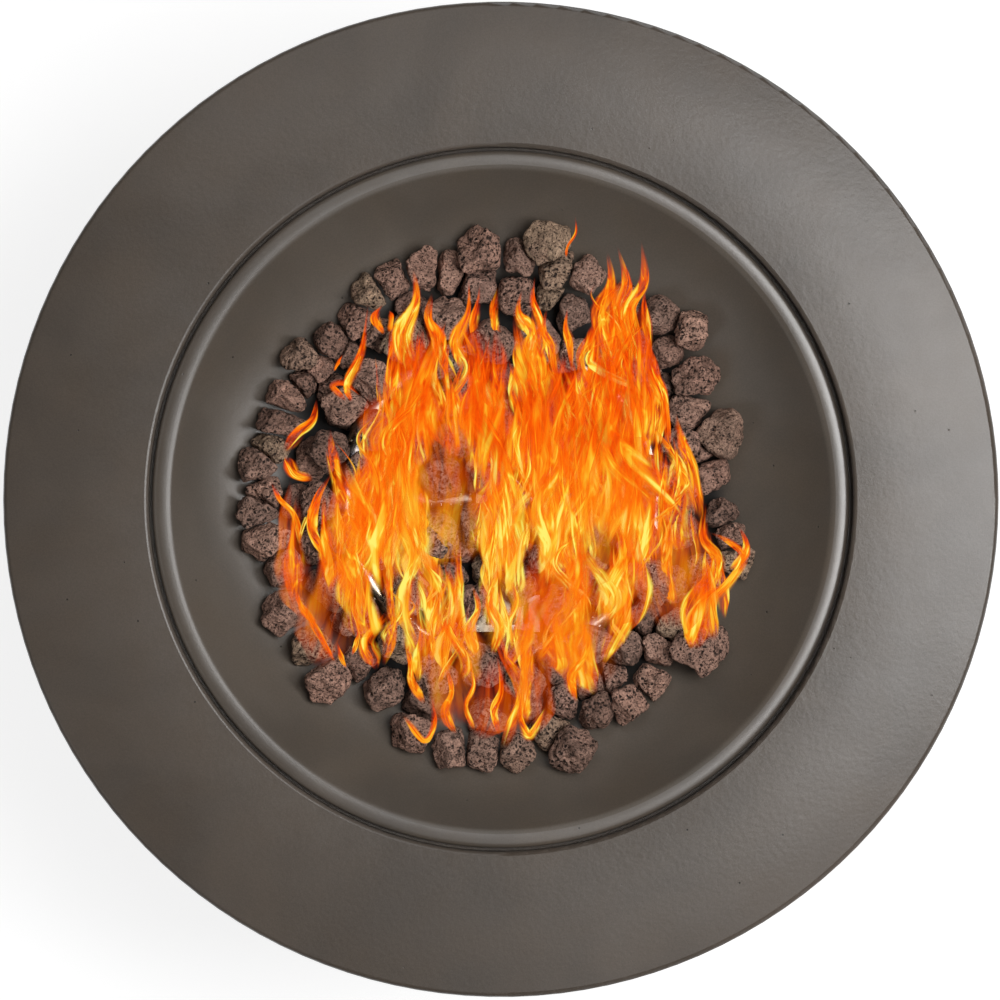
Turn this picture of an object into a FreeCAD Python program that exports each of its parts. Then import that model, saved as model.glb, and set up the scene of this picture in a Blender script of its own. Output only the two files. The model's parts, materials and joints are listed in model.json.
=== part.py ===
import FreeCAD, Part

import math
import os
import random
from types import SimpleNamespace

import Sketcher
from FreeCAD import Placement, Rotation, Vector

# Low round gas fire bowl: a cast bowl with a wide flat rim, a pressed steel fire dish dropped into
# its recess, a ring burner under lava stones, and the valve and igniter in a niche of the bowl.
# Millimetres, +Z up, origin on the bowl's axis at the floor. The control niche faces -Y.

DRIVING_SIZES = {
    # cast bowl
    "rim_radius": 355.5,
    "rim_top": 300,
    "rim_crown_radius": 600,
    "rim_crown_apex": 270,
    "rim_edge_round": 4,
    "rim_edge_bottom": 264,
    "side_top_radius": 347.5,
    "side_top_level": 260,
    "side_radius": 311,
    "side_centre_radius": 36.9,
    "side_centre_level": 278.9,
    "bowl_wall": 12,
    "base_radius": 200,
    "base_opening": 150,
    "foot_height": 10,
    # recess that the fire dish hangs in
    "recess_radius": 251.5,
    "recess_lip_round": 2.8,
    "recess_depth": 20,
    "ledge_inner": 238,
    "ledge_thickness": 14,
    # control niche and hose window
    "panel_level": 147,
    "niche_back": 258,
    "niche_half_width": 95,
    "niche_half_height": 43,
    "niche_corner": 12,
    "niche_wall": 12,
    "window_half_width": 66,
    "window_half_height": 30,
    "hose_level": 40,
    "hose_window_half": 25,
    "hose_window_sill": 24,
    # fire dish
    "dish_gauge": 2,
    "dish_floor": 238,
    "dish_flat_radius": 100,
    "dish_curve": 218,
    "bead_circle": 242.5,
    "bead_radius": 6,
    "gasket_thickness": 2,
    # burner
    "burner_circle": 111.5,
    "burner_tube": 8,
    "burner_level": 258,
    "stub_radius": 10.5,
    "stub_bottom": 205,
    "hub_radius": 22,
    "mixer_radius": 13.5,
    "mixer_bottom": 150,
    "elbow_level": 140,
    "gas_tube_radius": 4.75,
    # feet
    "foot_circle": 172,
    "foot_radius": 17,
    "foot_screw": 2.5,
    # pilot group, in front of the hub
    "pilot_offset": 82,
    "probe_spacing": 9,
    "guard_half_width": 28,
    "guard_half_depth": 13,
    "guard_height": 34,
    "guard_gauge": 1,
    # control panel
    "panel_gauge": 1.5,
    "panel_half_width": 88,
    "panel_half_height": 37,
    "knob_offset": 38,
    "igniter_offset": 45,
    "screw_half_width": 78,
    "screw_half_height": 30,
    "screw_shank": 1.9,
    # knob, stem and valve
    "knob_radius": 23,
    "knob_length": 26,
    "knob_gap": 4.5,
    "stem_radius": 3,
    "stem_flat": 1.7,
    "running_clearance": 0.05,
    "valve_bore": 7.2,
    "valve_depth": 22,
    # igniter
    "igniter_barrel": 11,
    "igniter_reach": 10.5,
    "igniter_cap": 13.5,
    "button_radius": 8,
    "cell_radius": 5.25,
    "cell_length": 44.5,
    # gas inlet
    "inlet_bracket_at": 187,
    "flare_thread": 7.94,
    # stones
    "stone_gap": 1,
    # flames, from the stones they stand on
    "flame_width": 24,
    "flame_depth": 9,
    "flame_rise": 38,
    "flame_lean": 46,
}

doc = FreeCAD.newDocument("fire_bowl")


class Size:
    """A number together with the sheet formula that gives it."""

    def __init__(self, value, formula):
        self.value = float(value)
        self.formula = formula

    def __add__(self, other):
        other = as_size(other)
        return Size(self.value + other.value, f"({self.formula} + {other.formula})")

    def __sub__(self, other):
        other = as_size(other)
        return Size(self.value - other.value, f"({self.formula} - {other.formula})")

    def __mul__(self, other):
        other = as_size(other)
        return Size(self.value * other.value, f"({self.formula} * {other.formula})")

    def __truediv__(self, other):
        other = as_size(other)
        return Size(self.value / other.value, f"({self.formula} / {other.formula})")

    def __radd__(self, other):
        return as_size(other) + self

    def __rsub__(self, other):
        return as_size(other) - self

    def __rmul__(self, other):
        return as_size(other) * self

    def __neg__(self):
        return as_size(0) - self

    def root(self):
        return Size(math.sqrt(self.value), f"sqrt({self.formula})")


def as_size(number):
    """A plain number is a size with no sheet cell behind it."""
    if isinstance(number, Size):
        return number
    return Size(number, f"({float(number)})")


def fill_sheet():
    """Writes the driving sizes to the sheet and returns them as sizes by name."""
    sheet = doc.addObject("Spreadsheet::Sheet", "sizes")
    for row, (name, value) in enumerate(DRIVING_SIZES.items(), start=1):
        sheet.set(f"A{row}", name.replace("_", " "))
        sheet.set(f"B{row}", str(value))
        sheet.setAlias(f"B{row}", name)
    doc.recompute()
    return SimpleNamespace(
        **{name: Size(value, f"sizes.{name}") for name, value in DRIVING_SIZES.items()}
    )


s = fill_sheet()

CLOCKWISE = -1
COUNTER_CLOCKWISE = 1


def curve_to(x, y, radius, turn=COUNTER_CLOCKWISE):
    """An outline corner reached by an arc of the given radius, of at most half a turn."""
    return (x, y, radius, turn)


def along_arc(centre_x, centre_y, radius, first, last, chords):
    """Outline corners spaced along an arc, for round stretches that stay out of sight."""
    angles = [math.radians(first + (last - first) * step / chords) for step in range(chords + 1)]
    return [(centre_x + radius * math.cos(a), centre_y + radius * math.sin(a)) for a in angles]


def arc_between(start, end, radius, turn):
    """Arc geometry from start to end; the centre lies to the left of a counter-clockwise one."""
    chord = end - start
    half = chord.Length / 2
    rise = math.sqrt(max(radius * radius - half * half, 0.0))
    left = Vector(-chord.y, chord.x, 0).normalize()
    centre = (start + end) * 0.5 + left * (rise * turn)
    first, last = (start, end) if turn == COUNTER_CLOCKWISE else (end, start)
    angles = [math.atan2(point.y - centre.y, point.x - centre.x) for point in (first, last)]
    if angles[1] <= angles[0]:
        angles[1] += 2 * math.pi
    return Part.ArcOfCircle(Part.Circle(centre, Vector(0, 0, 1), radius), *angles)


class Piece:
    """A PartDesign body whose sketches and features take their sizes from the sheet."""

    def __init__(self, label):
        self.body = doc.addObject("PartDesign::Body", label)
        self.body.Label = label
        self.body.AllowCompound = True
        pieces.append(self.body)

    def origin(self, role):
        return next(part for part in self.body.Origin.OriginFeatures if part.Role == role)

    def sketch(self, plane="XY_Plane", offset=0):
        sketch = self.body.newObject("Sketcher::SketchObject", f"{self.body.Name}_outline")
        sketch.AttachmentSupport = [(self.origin(plane), "")]
        sketch.MapMode = "FlatFace"
        offset = as_size(offset)
        sketch.AttachmentOffset = Placement(Vector(0, 0, offset.value), Rotation())
        sketch.setExpression("AttachmentOffset.Base.z", offset.formula)
        return sketch

    def add_outline(self, sketch, corners, x_shift=0):
        """A closed outline through the corners, counter-clockwise, each (x, y) or a curve_to()."""
        first = sketch.GeometryCount
        corners = [(x_shift + as_size(x), as_size(y), *arc) for x, y, *arc in corners]
        points = [Vector(x.value, y.value, 0) for x, y, *_ in corners]
        shapes, ends = [], []
        for index, (_, _, *arc) in enumerate(corners):
            start, end = points[index - 1], points[index]
            if arc:
                radius, turn = as_size(arc[0]), arc[1]
                shapes.append(arc_between(start, end, radius.value, turn))
                ends.append((1, 2) if turn == COUNTER_CLOCKWISE else (2, 1))
            else:
                shapes.append(Part.LineSegment(start, end))
                ends.append((1, 2))
        sketch.addGeometry(shapes, False)
        rules, formulas = [], []

        def rule(kind, *numbers, size):
            rules.append(Sketcher.Constraint(kind, *numbers, size.value))
            formulas.append((sketch.ConstraintCount + len(rules) - 1, size.formula))

        for index, (x, y, *arc) in enumerate(corners):
            this = first + index
            after = first + (index + 1) % len(corners)
            after_start = ends[(index + 1) % len(corners)][0]
            end = ends[index][1]
            rules.append(Sketcher.Constraint("Coincident", this, end, after, after_start))
            rule("DistanceX", -1, 1, this, end, size=x)
            rule("DistanceY", -1, 1, this, end, size=y)
            if arc and abs(arc_half_chord(points, index) - as_size(arc[0]).value) > 1e-6:
                rule("Radius", this, size=as_size(arc[0]))
        sketch.addConstraint(rules)
        for index, formula in formulas:
            sketch.setExpression(f"Constraints[{index}]", formula)
        return sketch

    def add_circles(self, sketch, centres, radius):
        radius = as_size(radius)
        for x, y in centres:
            x, y = as_size(x), as_size(y)
            circle = Part.Circle(Vector(x.value, y.value, 0), Vector(0, 0, 1), radius.value)
            geometry = sketch.addGeometry(circle, False)
            first = sketch.ConstraintCount
            sketch.addConstraint(
                [
                    Sketcher.Constraint("Radius", geometry, radius.value),
                    Sketcher.Constraint("DistanceX", -1, 1, geometry, 3, x.value),
                    Sketcher.Constraint("DistanceY", -1, 1, geometry, 3, y.value),
                ]
            )
            for index, size in enumerate((radius, x, y), start=first):
                sketch.setExpression(f"Constraints[{index}]", size.formula)
        return sketch

    def feature(self, kind, sketch, cuts, length=None, reverse=False, middle=False):
        """Adds a feature and checks that the body's volume went the way it should."""
        doc.recompute()
        tip = self.body.Tip
        before = self.body.Shape.Volume if tip else 0.0
        feature = self.body.newObject(f"PartDesign::{kind}", f"{self.body.Name}_{kind.lower()}")
        feature.Profile = sketch
        if length is not None:
            length = as_size(length)
            feature.Length = length.value
            feature.setExpression("Length", length.formula)
        feature.Reversed = reverse
        feature.Midplane = middle
        sketch.Visibility = False
        self.body.Tip = feature
        return feature, before, cuts

    def settle(self, feature, before, cuts):
        doc.recompute()
        after = self.body.Shape.Volume
        if (after < before) != cuts or abs(after - before) < 1e-3:
            raise RuntimeError(f"{feature.Label} changed the volume from {before} to {after}")
        return feature

    def pad(self, sketch, length, **ways):
        return self.settle(*self.feature("Pad", sketch, False, length, **ways))

    def pocket(self, sketch, length, **ways):
        return self.settle(*self.feature("Pocket", sketch, True, length, **ways))

    def turn(self, corners, centre=0, cuts=False):
        """Revolves an outline, given as (distance from the turning line, level) corners."""
        centre = as_size(centre)
        sketch = self.sketch("XZ_Plane")
        self.add_outline(sketch, corners, x_shift=centre)
        kind = "Groove" if cuts else "Revolution"
        feature, before, cuts = self.feature(kind, sketch, cuts)
        if centre.value == 0:
            feature.ReferenceAxis = (sketch, ["V_Axis"])
        else:
            self.add_turning_line(sketch, centre)
            feature.ReferenceAxis = (sketch, ["Axis0"])
        feature.Angle = 360
        return self.settle(feature, before, cuts)

    def add_turning_line(self, sketch, centre):
        line = Part.LineSegment(Vector(centre.value, 0, 0), Vector(centre.value, 1, 0))
        geometry = sketch.addGeometry(line, True)
        first = sketch.ConstraintCount
        sketch.addConstraint(
            [
                Sketcher.Constraint("Vertical", geometry),
                Sketcher.Constraint("DistanceX", -1, 1, geometry, 1, centre.value),
                Sketcher.Constraint("DistanceY", -1, 1, geometry, 1, 0.0),
                Sketcher.Constraint("DistanceY", geometry, 1, geometry, 2, 1.0),
            ]
        )
        sketch.setExpression(f"Constraints[{first + 1}]", centre.formula)

    def repeat_around(self, features, count):
        """Repeats features about the body's own Z axis."""
        doc.recompute()
        pattern = self.body.newObject("PartDesign::PolarPattern", f"{self.body.Name}_around")
        pattern.Originals = features
        pattern.Axis = (self.origin("Z_Axis"), [""])
        pattern.Angle = 360
        pattern.Occurrences = count
        self.body.Tip = pattern
        doc.recompute()
        return pattern

    def place(self, x=0, y=0, z=0, turn=None):
        put(self.body, x, y, z, turn)
        return self.body


def arc_half_chord(points, index):
    return (points[index] - points[index - 1]).Length / 2


def put(item, x=0, y=0, z=0, turn=None):
    """Places an object, its position bound to the sheet."""
    x, y, z = as_size(x), as_size(y), as_size(z)
    item.Placement = Placement(Vector(x.value, y.value, z.value), turn or Rotation())
    for name, size in (("x", x), ("y", y), ("z", z)):
        item.setExpression(f".Placement.Base.{name}", size.formula)


FACING_FRONT = Rotation(Vector(1, 0, 0), 90)
FACING_BACK = Rotation(Vector(1, 0, 0), -90)
EIGHTH_TURN = Rotation(Vector(0, 0, 1), 45)

pieces = []


def rectangle(left, bottom, right, top):
    return [(left, bottom), (right, bottom), (right, top), (left, top)]


def rounded_rectangle(half_width, low, high, corner):
    """A rectangle centred on the vertical axis with rounded corners."""
    wide, narrow = as_size(half_width), as_size(half_width) - corner
    return [
        curve_to(-narrow, low, corner),
        (narrow, low),
        curve_to(wide, low + corner, corner),
        (wide, high - corner),
        curve_to(narrow, high, corner),
        (-narrow, high),
        curve_to(-wide, high - corner, corner),
        (-wide, low + corner),
    ]


def hexagon(across_flats):
    corner = as_size(across_flats) / math.sqrt(3)
    angles = [math.radians(60 * step) for step in range(6)]
    return [(corner * math.cos(angle), corner * math.sin(angle)) for angle in angles]


def hex_nut(label, across_flats, thickness, bore):
    nut = Piece(label)
    nut.pad(nut.add_outline(nut.sketch(), hexagon(across_flats)), thickness)
    nut.pocket(nut.add_circles(nut.sketch(), [(0, 0)], bore), thickness, reverse=True)
    return nut


# ---------------------------------------------------------------- cast bowl

ledge_top = s.rim_top - s.recess_depth
base_top = s.foot_height + s.bowl_wall
niche_bottom = s.panel_level - s.niche_half_height
niche_top = s.panel_level + s.niche_half_height


def bowl_shell():
    bowl = Piece("bowl_shell")

    # the niche's own walls start as a block, trimmed just inside the bowl's outer face
    block_half_width = s.niche_half_width + s.niche_wall
    block = bowl.sketch("XZ_Plane", s.niche_back - s.niche_wall)
    bowl.add_outline(
        block,
        rectangle(
            -block_half_width,
            niche_bottom - s.niche_wall,
            block_half_width,
            niche_top + s.niche_wall,
        ),
    )
    bowl.pad(block, 110)
    trim = s.bowl_wall / 4
    beyond = s.rim_radius + 60
    bowl.turn(
        [
            (s.base_radius, s.foot_height + 4),
            curve_to(s.side_top_radius - trim, s.side_top_level, s.side_radius - trim),
            (beyond, s.side_top_level),
            (beyond, s.foot_height + 4),
        ],
        cuts=True,
    )

    crown_centre = s.rim_top - s.rim_crown_radius
    inner_crown = s.rim_crown_radius - s.rim_edge_round
    round_x = s.rim_radius - s.rim_edge_round
    run = round_x - s.rim_crown_apex
    rise = (inner_crown * inner_crown - run * run).root()
    share = s.rim_crown_radius / inner_crown
    lip_x = s.recess_radius + s.recess_lip_round
    lip_run = lip_x - s.rim_crown_apex
    lip_level = crown_centre + (s.rim_crown_radius * s.rim_crown_radius - lip_run * lip_run).root()
    behind_recess = s.recess_radius + s.bowl_wall
    inner_side = s.side_top_radius - s.bowl_wall
    inner_radius = s.side_radius - s.bowl_wall
    foot_drop = s.side_centre_level - base_top
    inner_foot = (inner_radius * inner_radius - foot_drop * foot_drop).root()
    bowl.turn(
        [
            (s.base_opening, s.foot_height),
            (s.base_radius - 4, s.foot_height),
            (s.base_radius, s.foot_height + 4),
            curve_to(s.side_top_radius, s.side_top_level, s.side_radius),
            (s.rim_radius - 4, s.side_top_level),
            (s.rim_radius, s.rim_edge_bottom),
            (s.rim_radius, crown_centre + rise),
            curve_to(s.rim_crown_apex + run * share, crown_centre + rise * share, s.rim_edge_round),
            curve_to(lip_x, lip_level, s.rim_crown_radius),
            curve_to(s.recess_radius, lip_level - s.recess_lip_round, s.recess_lip_round),
            (s.recess_radius, ledge_top),
            (s.ledge_inner, ledge_top),
            (s.ledge_inner, ledge_top - s.ledge_thickness),
            (behind_recess, ledge_top - s.ledge_thickness),
            (behind_recess, s.rim_top - s.ledge_thickness),
            (inner_side - 4, s.rim_top - s.bowl_wall - 8),
            (inner_side, s.side_top_level + 10),
            *along_arc(s.side_centre_radius, s.side_centre_level, inner_radius, -4, -59, 5),
            (s.side_centre_radius + inner_foot, base_top),
            (s.base_opening, base_top),
        ]
    )

    niche = bowl.sketch("XZ_Plane", s.niche_back)
    bowl.add_outline(
        niche, rounded_rectangle(s.niche_half_width, niche_bottom, niche_top, s.niche_corner)
    )
    bowl.pocket(niche, 110, reverse=True)

    window = bowl.sketch("XZ_Plane", s.niche_back)
    bowl.add_outline(
        window,
        rectangle(
            -s.window_half_width,
            s.panel_level - s.window_half_height,
            s.window_half_width,
            s.panel_level + s.window_half_height,
        ),
    )
    bowl.pocket(window, s.niche_wall + 6)

    screw_holes = bowl.sketch("XZ_Plane", s.niche_back)
    bowl.add_circles(screw_holes, panel_screw_centres(s.panel_level), s.screw_shank)
    bowl.pocket(screw_holes, s.niche_wall + 6)

    # arched window at the back for the gas hose
    hose = bowl.sketch("XZ_Plane")
    arch_spring = s.hose_window_sill + 12
    bowl.add_outline(
        hose,
        [
            (-s.hose_window_half, s.hose_window_sill),
            (s.hose_window_half, s.hose_window_sill),
            (s.hose_window_half, arch_spring),
            curve_to(-s.hose_window_half, arch_spring, s.hose_window_half),
        ],
    )
    bowl.pocket(hose, 270)

    foot_holes = bowl.sketch()
    diagonal = s.foot_circle * math.sqrt(0.5)
    corners = [(x * diagonal, y * diagonal) for x in (-1, 1) for y in (-1, 1)]
    bowl.add_circles(foot_holes, corners, s.foot_screw)
    bowl.pocket(foot_holes, base_top + 4, reverse=True)

    bracket_holes = bowl.sketch("XY_Plane", base_top)
    bowl.add_circles(bracket_holes, bracket_screw_centres(), s.screw_shank)
    bowl.pocket(bracket_holes, BRACKET_SCREW_GRIP)


def panel_screw_centres(level):
    return [
        (side * s.screw_half_width, level + height * s.screw_half_height)
        for side in (-1, 1)
        for height in (-1, 1)
    ]


def rubber_feet():
    """Four feet; each is hollow underneath for its screw's head."""
    feet = Piece("rubber_feet")
    recess = 7.5
    foot = feet.turn(
        [
            (recess, 0),
            (s.foot_radius - 2, 0),
            (s.foot_radius, 2),
            (s.foot_radius - 1.5, s.foot_height),
            (2.6, s.foot_height),
            (2.6, 6),
            (recess, 6),
        ],
        centre=s.foot_circle,
    )
    feet.repeat_around([foot], 4)
    feet.place(turn=EIGHTH_TURN)


def foot_washers():
    washers = Piece("foot_washers")
    ring = washers.turn([(2.6, 4.8), (6.5, 4.8), (6.5, 6), (2.6, 6)], centre=s.foot_circle)
    washers.repeat_around([ring], 4)
    washers.place(turn=EIGHTH_TURN)


def foot_screws():
    screws = Piece("foot_screws")
    screw = screws.turn(
        [(0, 1.8), (3.2, 1.8), (4.5, 4.8), (2.5, 4.8), (2.5, base_top - 1), (0, base_top - 1)],
        centre=s.foot_circle,
    )
    screws.repeat_around([screw], 4)
    screws.place(turn=EIGHTH_TURN)


# ---------------------------------------------------------------- fire dish

def dish_level(radius):
    """Level of the dish's upper face, as a plain number."""
    out = max(radius - s.dish_flat_radius.value, 0.0)
    curve = s.dish_curve.value
    return s.dish_floor.value + curve - math.sqrt(curve * curve - out * out)


def dish_gasket():
    gasket = Piece("dish_gasket")
    half = 5
    gasket.turn(
        rectangle(
            s.bead_circle - half, ledge_top, s.bead_circle + half, ledge_top + s.gasket_thickness
        )
    )


def fire_dish():
    """Pressed dish; its edge is rolled into a bead that rests on the gasket."""
    dish = Piece("fire_dish")
    bead_level = ledge_top + s.gasket_thickness + s.bead_radius
    curve_centre = s.dish_floor + s.dish_curve
    under_curve = s.dish_curve + s.dish_gauge
    crease = s.bead_circle - s.bead_radius
    crease_run = crease - s.dish_flat_radius
    roll = s.bead_radius - s.dish_gauge
    stub_hole = s.stub_radius + 0.5
    dish.turn(
        [
            (stub_hole, s.dish_floor - s.dish_gauge),
            *along_arc(s.dish_flat_radius, curve_centre, under_curve, -90, -51, 5),
            *along_arc(s.bead_circle, bead_level, roll, 180, -90, 6),
            *along_arc(s.bead_circle, bead_level, s.bead_radius, -90, 0, 3),
            curve_to(s.bead_circle, bead_level + s.bead_radius, s.bead_radius),
            curve_to(crease, bead_level, s.bead_radius),
            (
                crease,
                curve_centre - (s.dish_curve * s.dish_curve - crease_run * crease_run).root(),
            ),
            curve_to(s.dish_flat_radius, s.dish_floor, s.dish_curve, CLOCKWISE),
            (stub_hole, s.dish_floor),
        ]
    )
    through = s.dish_gauge + 4
    leg_holes = dish.sketch("XY_Plane", s.dish_floor)
    dish.add_circles(leg_holes, leg_screw_centres() + pilot_screw_centres(), s.screw_shank)
    dish.pocket(leg_holes, through)
    drain_holes = dish.sketch("XY_Plane", s.dish_floor)
    drain = 55
    dish.add_circles(drain_holes, [(drain, 0), (0, drain), (-drain, 0), (0, -drain)], 4)
    dish.pocket(drain_holes, through)
    probe_slot = dish.sketch("XY_Plane", s.dish_floor)
    slot_half = s.probe_spacing + 6
    dish.add_outline(
        probe_slot,
        rectangle(-slot_half, -s.pilot_offset - 6, slot_half, -s.pilot_offset + 6),
    )
    dish.pocket(probe_slot, through)


# ---------------------------------------------------------------- burner

LEG_SCREW_CIRCLE = 88
ELBOW_REACH = 24


def leg_screw_centres():
    diagonal = LEG_SCREW_CIRCLE * math.sqrt(0.5)
    return [(x * diagonal, y * diagonal) for x in (-1, 1) for y in (-1, 1)]


def burner_ring():
    """Ring and cross tube welded as one and cut to seat on the hub."""
    torus = doc.addObject("Part::Torus", "ring_tube")
    torus.setExpression("Radius1", s.burner_circle.formula)
    torus.setExpression("Radius2", s.burner_tube.formula)
    put(torus, z=s.burner_level, turn=Rotation(Vector(0, 0, 1), 90))
    cross = doc.addObject("Part::Cylinder", "cross_tube")
    cross.setExpression("Radius", s.burner_tube.formula)
    cross.setExpression("Height", (s.burner_circle * 2).formula)
    put(cross, x=-s.burner_circle, z=s.burner_level, turn=Rotation(Vector(0, 1, 0), 90))
    welded = doc.addObject("Part::MultiFuse", "ring_and_cross")
    welded.Shapes = [torus, cross]
    hub_space = doc.addObject("Part::Cylinder", "hub_space")
    hub_space.setExpression("Radius", s.hub_radius.formula)
    hub_space.setExpression("Height", (s.burner_tube * 4).formula)
    put(hub_space, z=s.burner_level - s.burner_tube * 2)
    ring = doc.addObject("Part::Cut", "burner_ring")
    ring.Base = welded
    ring.Tool = hub_space
    ring.Label = "burner_ring"
    pieces.append(ring)


def burner_hub():
    hub = Piece("burner_hub")
    hub_bottom = s.dish_floor + s.gasket_thickness
    hub_top = s.burner_level + s.burner_tube + 1
    hub.turn(
        [
            (0, s.stub_bottom),
            (s.stub_radius, s.stub_bottom),
            (s.stub_radius, hub_bottom),
            (s.stub_radius + 5, hub_bottom),
            (s.hub_radius, s.burner_level - s.burner_tube - 2),
            (s.hub_radius, hub_top - 4),
            (s.hub_radius - 4, hub_top),
            (0, hub_top),
        ]
    )


def hub_washer():
    washer = Piece("hub_washer")
    washer.turn(
        rectangle(
            s.stub_radius + s.running_clearance,
            s.dish_floor,
            s.stub_radius + 9,
            s.dish_floor + s.gasket_thickness,
        )
    )


def hub_locknut():
    nut = hex_nut("hub_locknut", 34, 9, s.stub_radius + s.running_clearance)
    nut.place(z=s.dish_floor - s.dish_gauge - 9)


def burner_legs():
    """Bent strips that carry the ring clear of the dish."""
    legs = Piece("burner_legs")
    gauge = 2
    shelf = s.burner_level - s.burner_tube
    riser = s.dish_flat_radius - 2
    profile = legs.sketch("XZ_Plane")
    legs.add_outline(
        profile,
        [
            (LEG_SCREW_CIRCLE - 8, s.dish_floor),
            (riser, s.dish_floor),
            (riser, shelf - gauge),
            (s.burner_circle + 8, shelf - gauge),
            (s.burner_circle + 8, shelf),
            (riser - gauge, shelf),
            (riser - gauge, s.dish_floor + gauge),
            (LEG_SCREW_CIRCLE - 8, s.dish_floor + gauge),
        ],
    )
    strip = legs.pad(profile, 14, middle=True)
    hole = legs.sketch("XY_Plane", s.dish_floor + gauge)
    legs.add_circles(hole, [(LEG_SCREW_CIRCLE, 0)], s.screw_shank)
    drilled = legs.pocket(hole, gauge + 1)
    legs.repeat_around([strip, drilled], 4)
    legs.place(turn=EIGHTH_TURN)


def leg_screws():
    screws = Piece("leg_screws")
    head = s.dish_floor + 2
    tail = s.dish_floor - s.dish_gauge - 4
    screw = screws.turn(
        [
            (0, tail),
            (s.screw_shank, tail),
            (s.screw_shank, head),
            (4, head),
            (3, head + 2.2),
            (0, head + 2.2),
        ],
        centre=LEG_SCREW_CIRCLE,
    )
    screws.repeat_around([screw], 4)
    screws.place(turn=EIGHTH_TURN)


def air_mixer():
    """Tube screwed on the hub's stub, with two windows for the burner's air."""
    mixer = Piece("air_mixer")
    bore = s.stub_radius + s.running_clearance
    mixer.turn(
        [
            (8, s.mixer_bottom),
            (s.mixer_radius, s.mixer_bottom),
            (s.mixer_radius, s.stub_bottom + 18),
            (bore, s.stub_bottom + 18),
            (bore, s.mixer_bottom + 6),
            (8, s.mixer_bottom + 6),
        ]
    )
    windows = mixer.sketch("XZ_Plane")
    mixer.add_outline(
        windows, rounded_rectangle(6, s.mixer_bottom + 14, s.mixer_bottom + 38, as_size(4))
    )
    mixer.pocket(windows, s.mixer_radius * 4, middle=True)


def gas_jet():
    """Brass orifice between elbow and mixer."""
    jet = Piece("gas_jet")
    jet.turn(
        [
            (0.8, s.elbow_level + 9),
            (7.9, s.elbow_level + 9),
            (7.9, s.mixer_bottom + 7),
            (4, s.mixer_bottom + 14),
            (0.8, s.mixer_bottom + 14),
        ]
    )


def jet_elbow():
    elbow = Piece("jet_elbow")
    elbow.turn(rectangle(0, s.elbow_level - 9, 9, s.elbow_level + 9))
    arm = elbow.sketch("XZ_Plane")
    elbow.add_circles(arm, [(0, s.elbow_level)], 8)
    elbow.pad(arm, ELBOW_REACH)


# ---------------------------------------------------------------- pilot group

PROBE_BOTTOM = 222
PILOT_PLATE = 2
PILOT_SCREW_OFFSET = 21.5


def pilot_bracket():
    """Plate over the dish's slot that holds both probes, welded inside the guard's foot."""
    bracket = Piece("pilot_bracket")
    half_width = s.guard_half_width - s.guard_gauge
    half_depth = s.guard_half_depth - s.guard_gauge
    plate = bracket.sketch("XY_Plane", s.dish_floor)
    bracket.add_outline(
        plate,
        rectangle(
            -half_width, -s.pilot_offset - half_depth, half_width, -s.pilot_offset + half_depth
        ),
    )
    bracket.pad(plate, PILOT_PLATE)
    holes = bracket.sketch("XY_Plane", s.dish_floor)
    bracket.add_circles(holes, [(-s.probe_spacing, -s.pilot_offset)], 3.55)
    bracket.add_circles(holes, [(s.probe_spacing, -s.pilot_offset)], 3.05)
    bracket.add_circles(holes, pilot_screw_centres(), s.screw_shank)
    bracket.pocket(holes, 4, reverse=True)


def pilot_screw_centres():
    return [(side * PILOT_SCREW_OFFSET, -s.pilot_offset) for side in (-1, 1)]


def pilot_screws():
    screws = Piece("pilot_screws")
    top = s.dish_floor + PILOT_PLATE
    heads = screws.sketch("XY_Plane", top)
    screws.add_circles(heads, pilot_screw_centres(), 3.6)
    screws.pad(heads, 2)
    shanks = screws.sketch("XY_Plane", top)
    screws.add_circles(shanks, pilot_screw_centres(), s.screw_shank)
    screws.pad(shanks, PILOT_PLATE + s.dish_gauge + 4, reverse=True)


def electrode_ceramic():
    ceramic = Piece("electrode_ceramic")
    ceramic.turn(
        [
            (1.15, PROBE_BOTTOM),
            (3.5, PROBE_BOTTOM),
            (3.5, s.dish_floor + 2),
            (5, s.dish_floor + 2),
            (5, s.dish_floor + 5),
            (3.5, s.dish_floor + 5),
            (2.6, s.dish_floor + 22),
            (1.15, s.dish_floor + 22),
        ]
    )
    ceramic.place(-s.probe_spacing, -s.pilot_offset)


def electrode_rod():
    """Spark rod through the ceramic, bent forward to the ring at its top."""
    level = s.dish_floor.value + 28
    bend = 4.0
    reach = 7.0
    rise = level - PROBE_BOTTOM
    run_up = Part.LineSegment(Vector(0, 0, 0), Vector(0, 0, rise - bend)).toShape()
    corner = Part.Arc(
        Vector(0, 0, rise - bend),
        Vector(0, -bend * (1 - math.sqrt(0.5)), rise - bend * (1 - math.sqrt(0.5))),
        Vector(0, -bend, rise),
    ).toShape()
    run_out = Part.LineSegment(Vector(0, -bend, rise), Vector(0, -reach, rise)).toShape()
    section = Part.Wire(Part.makeCircle(1.1, Vector(0, 0, 0), Vector(0, 0, 1)))
    rod = doc.addObject("Part::Feature", "electrode_rod")
    rod.Shape = Part.Wire([run_up, corner, run_out]).makePipeShell([section], True, True)
    put(rod, -s.probe_spacing, -s.pilot_offset, PROBE_BOTTOM)
    rod.Label = "electrode_rod"
    pieces.append(rod)


def thermocouple():
    probe = Piece("thermocouple")
    probe.turn(
        [
            (0, PROBE_BOTTOM),
            (2.2, PROBE_BOTTOM),
            (3, PROBE_BOTTOM + 4),
            (3, s.dish_floor + 2),
            (4.4, s.dish_floor + 2),
            (4.4, s.dish_floor + 6),
            (2.4, s.dish_floor + 10),
            (2.4, s.dish_floor + 26),
            (1.4, s.dish_floor + 28),
            (0, s.dish_floor + 28),
        ]
    )
    probe.place(s.probe_spacing, -s.pilot_offset)


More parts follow.
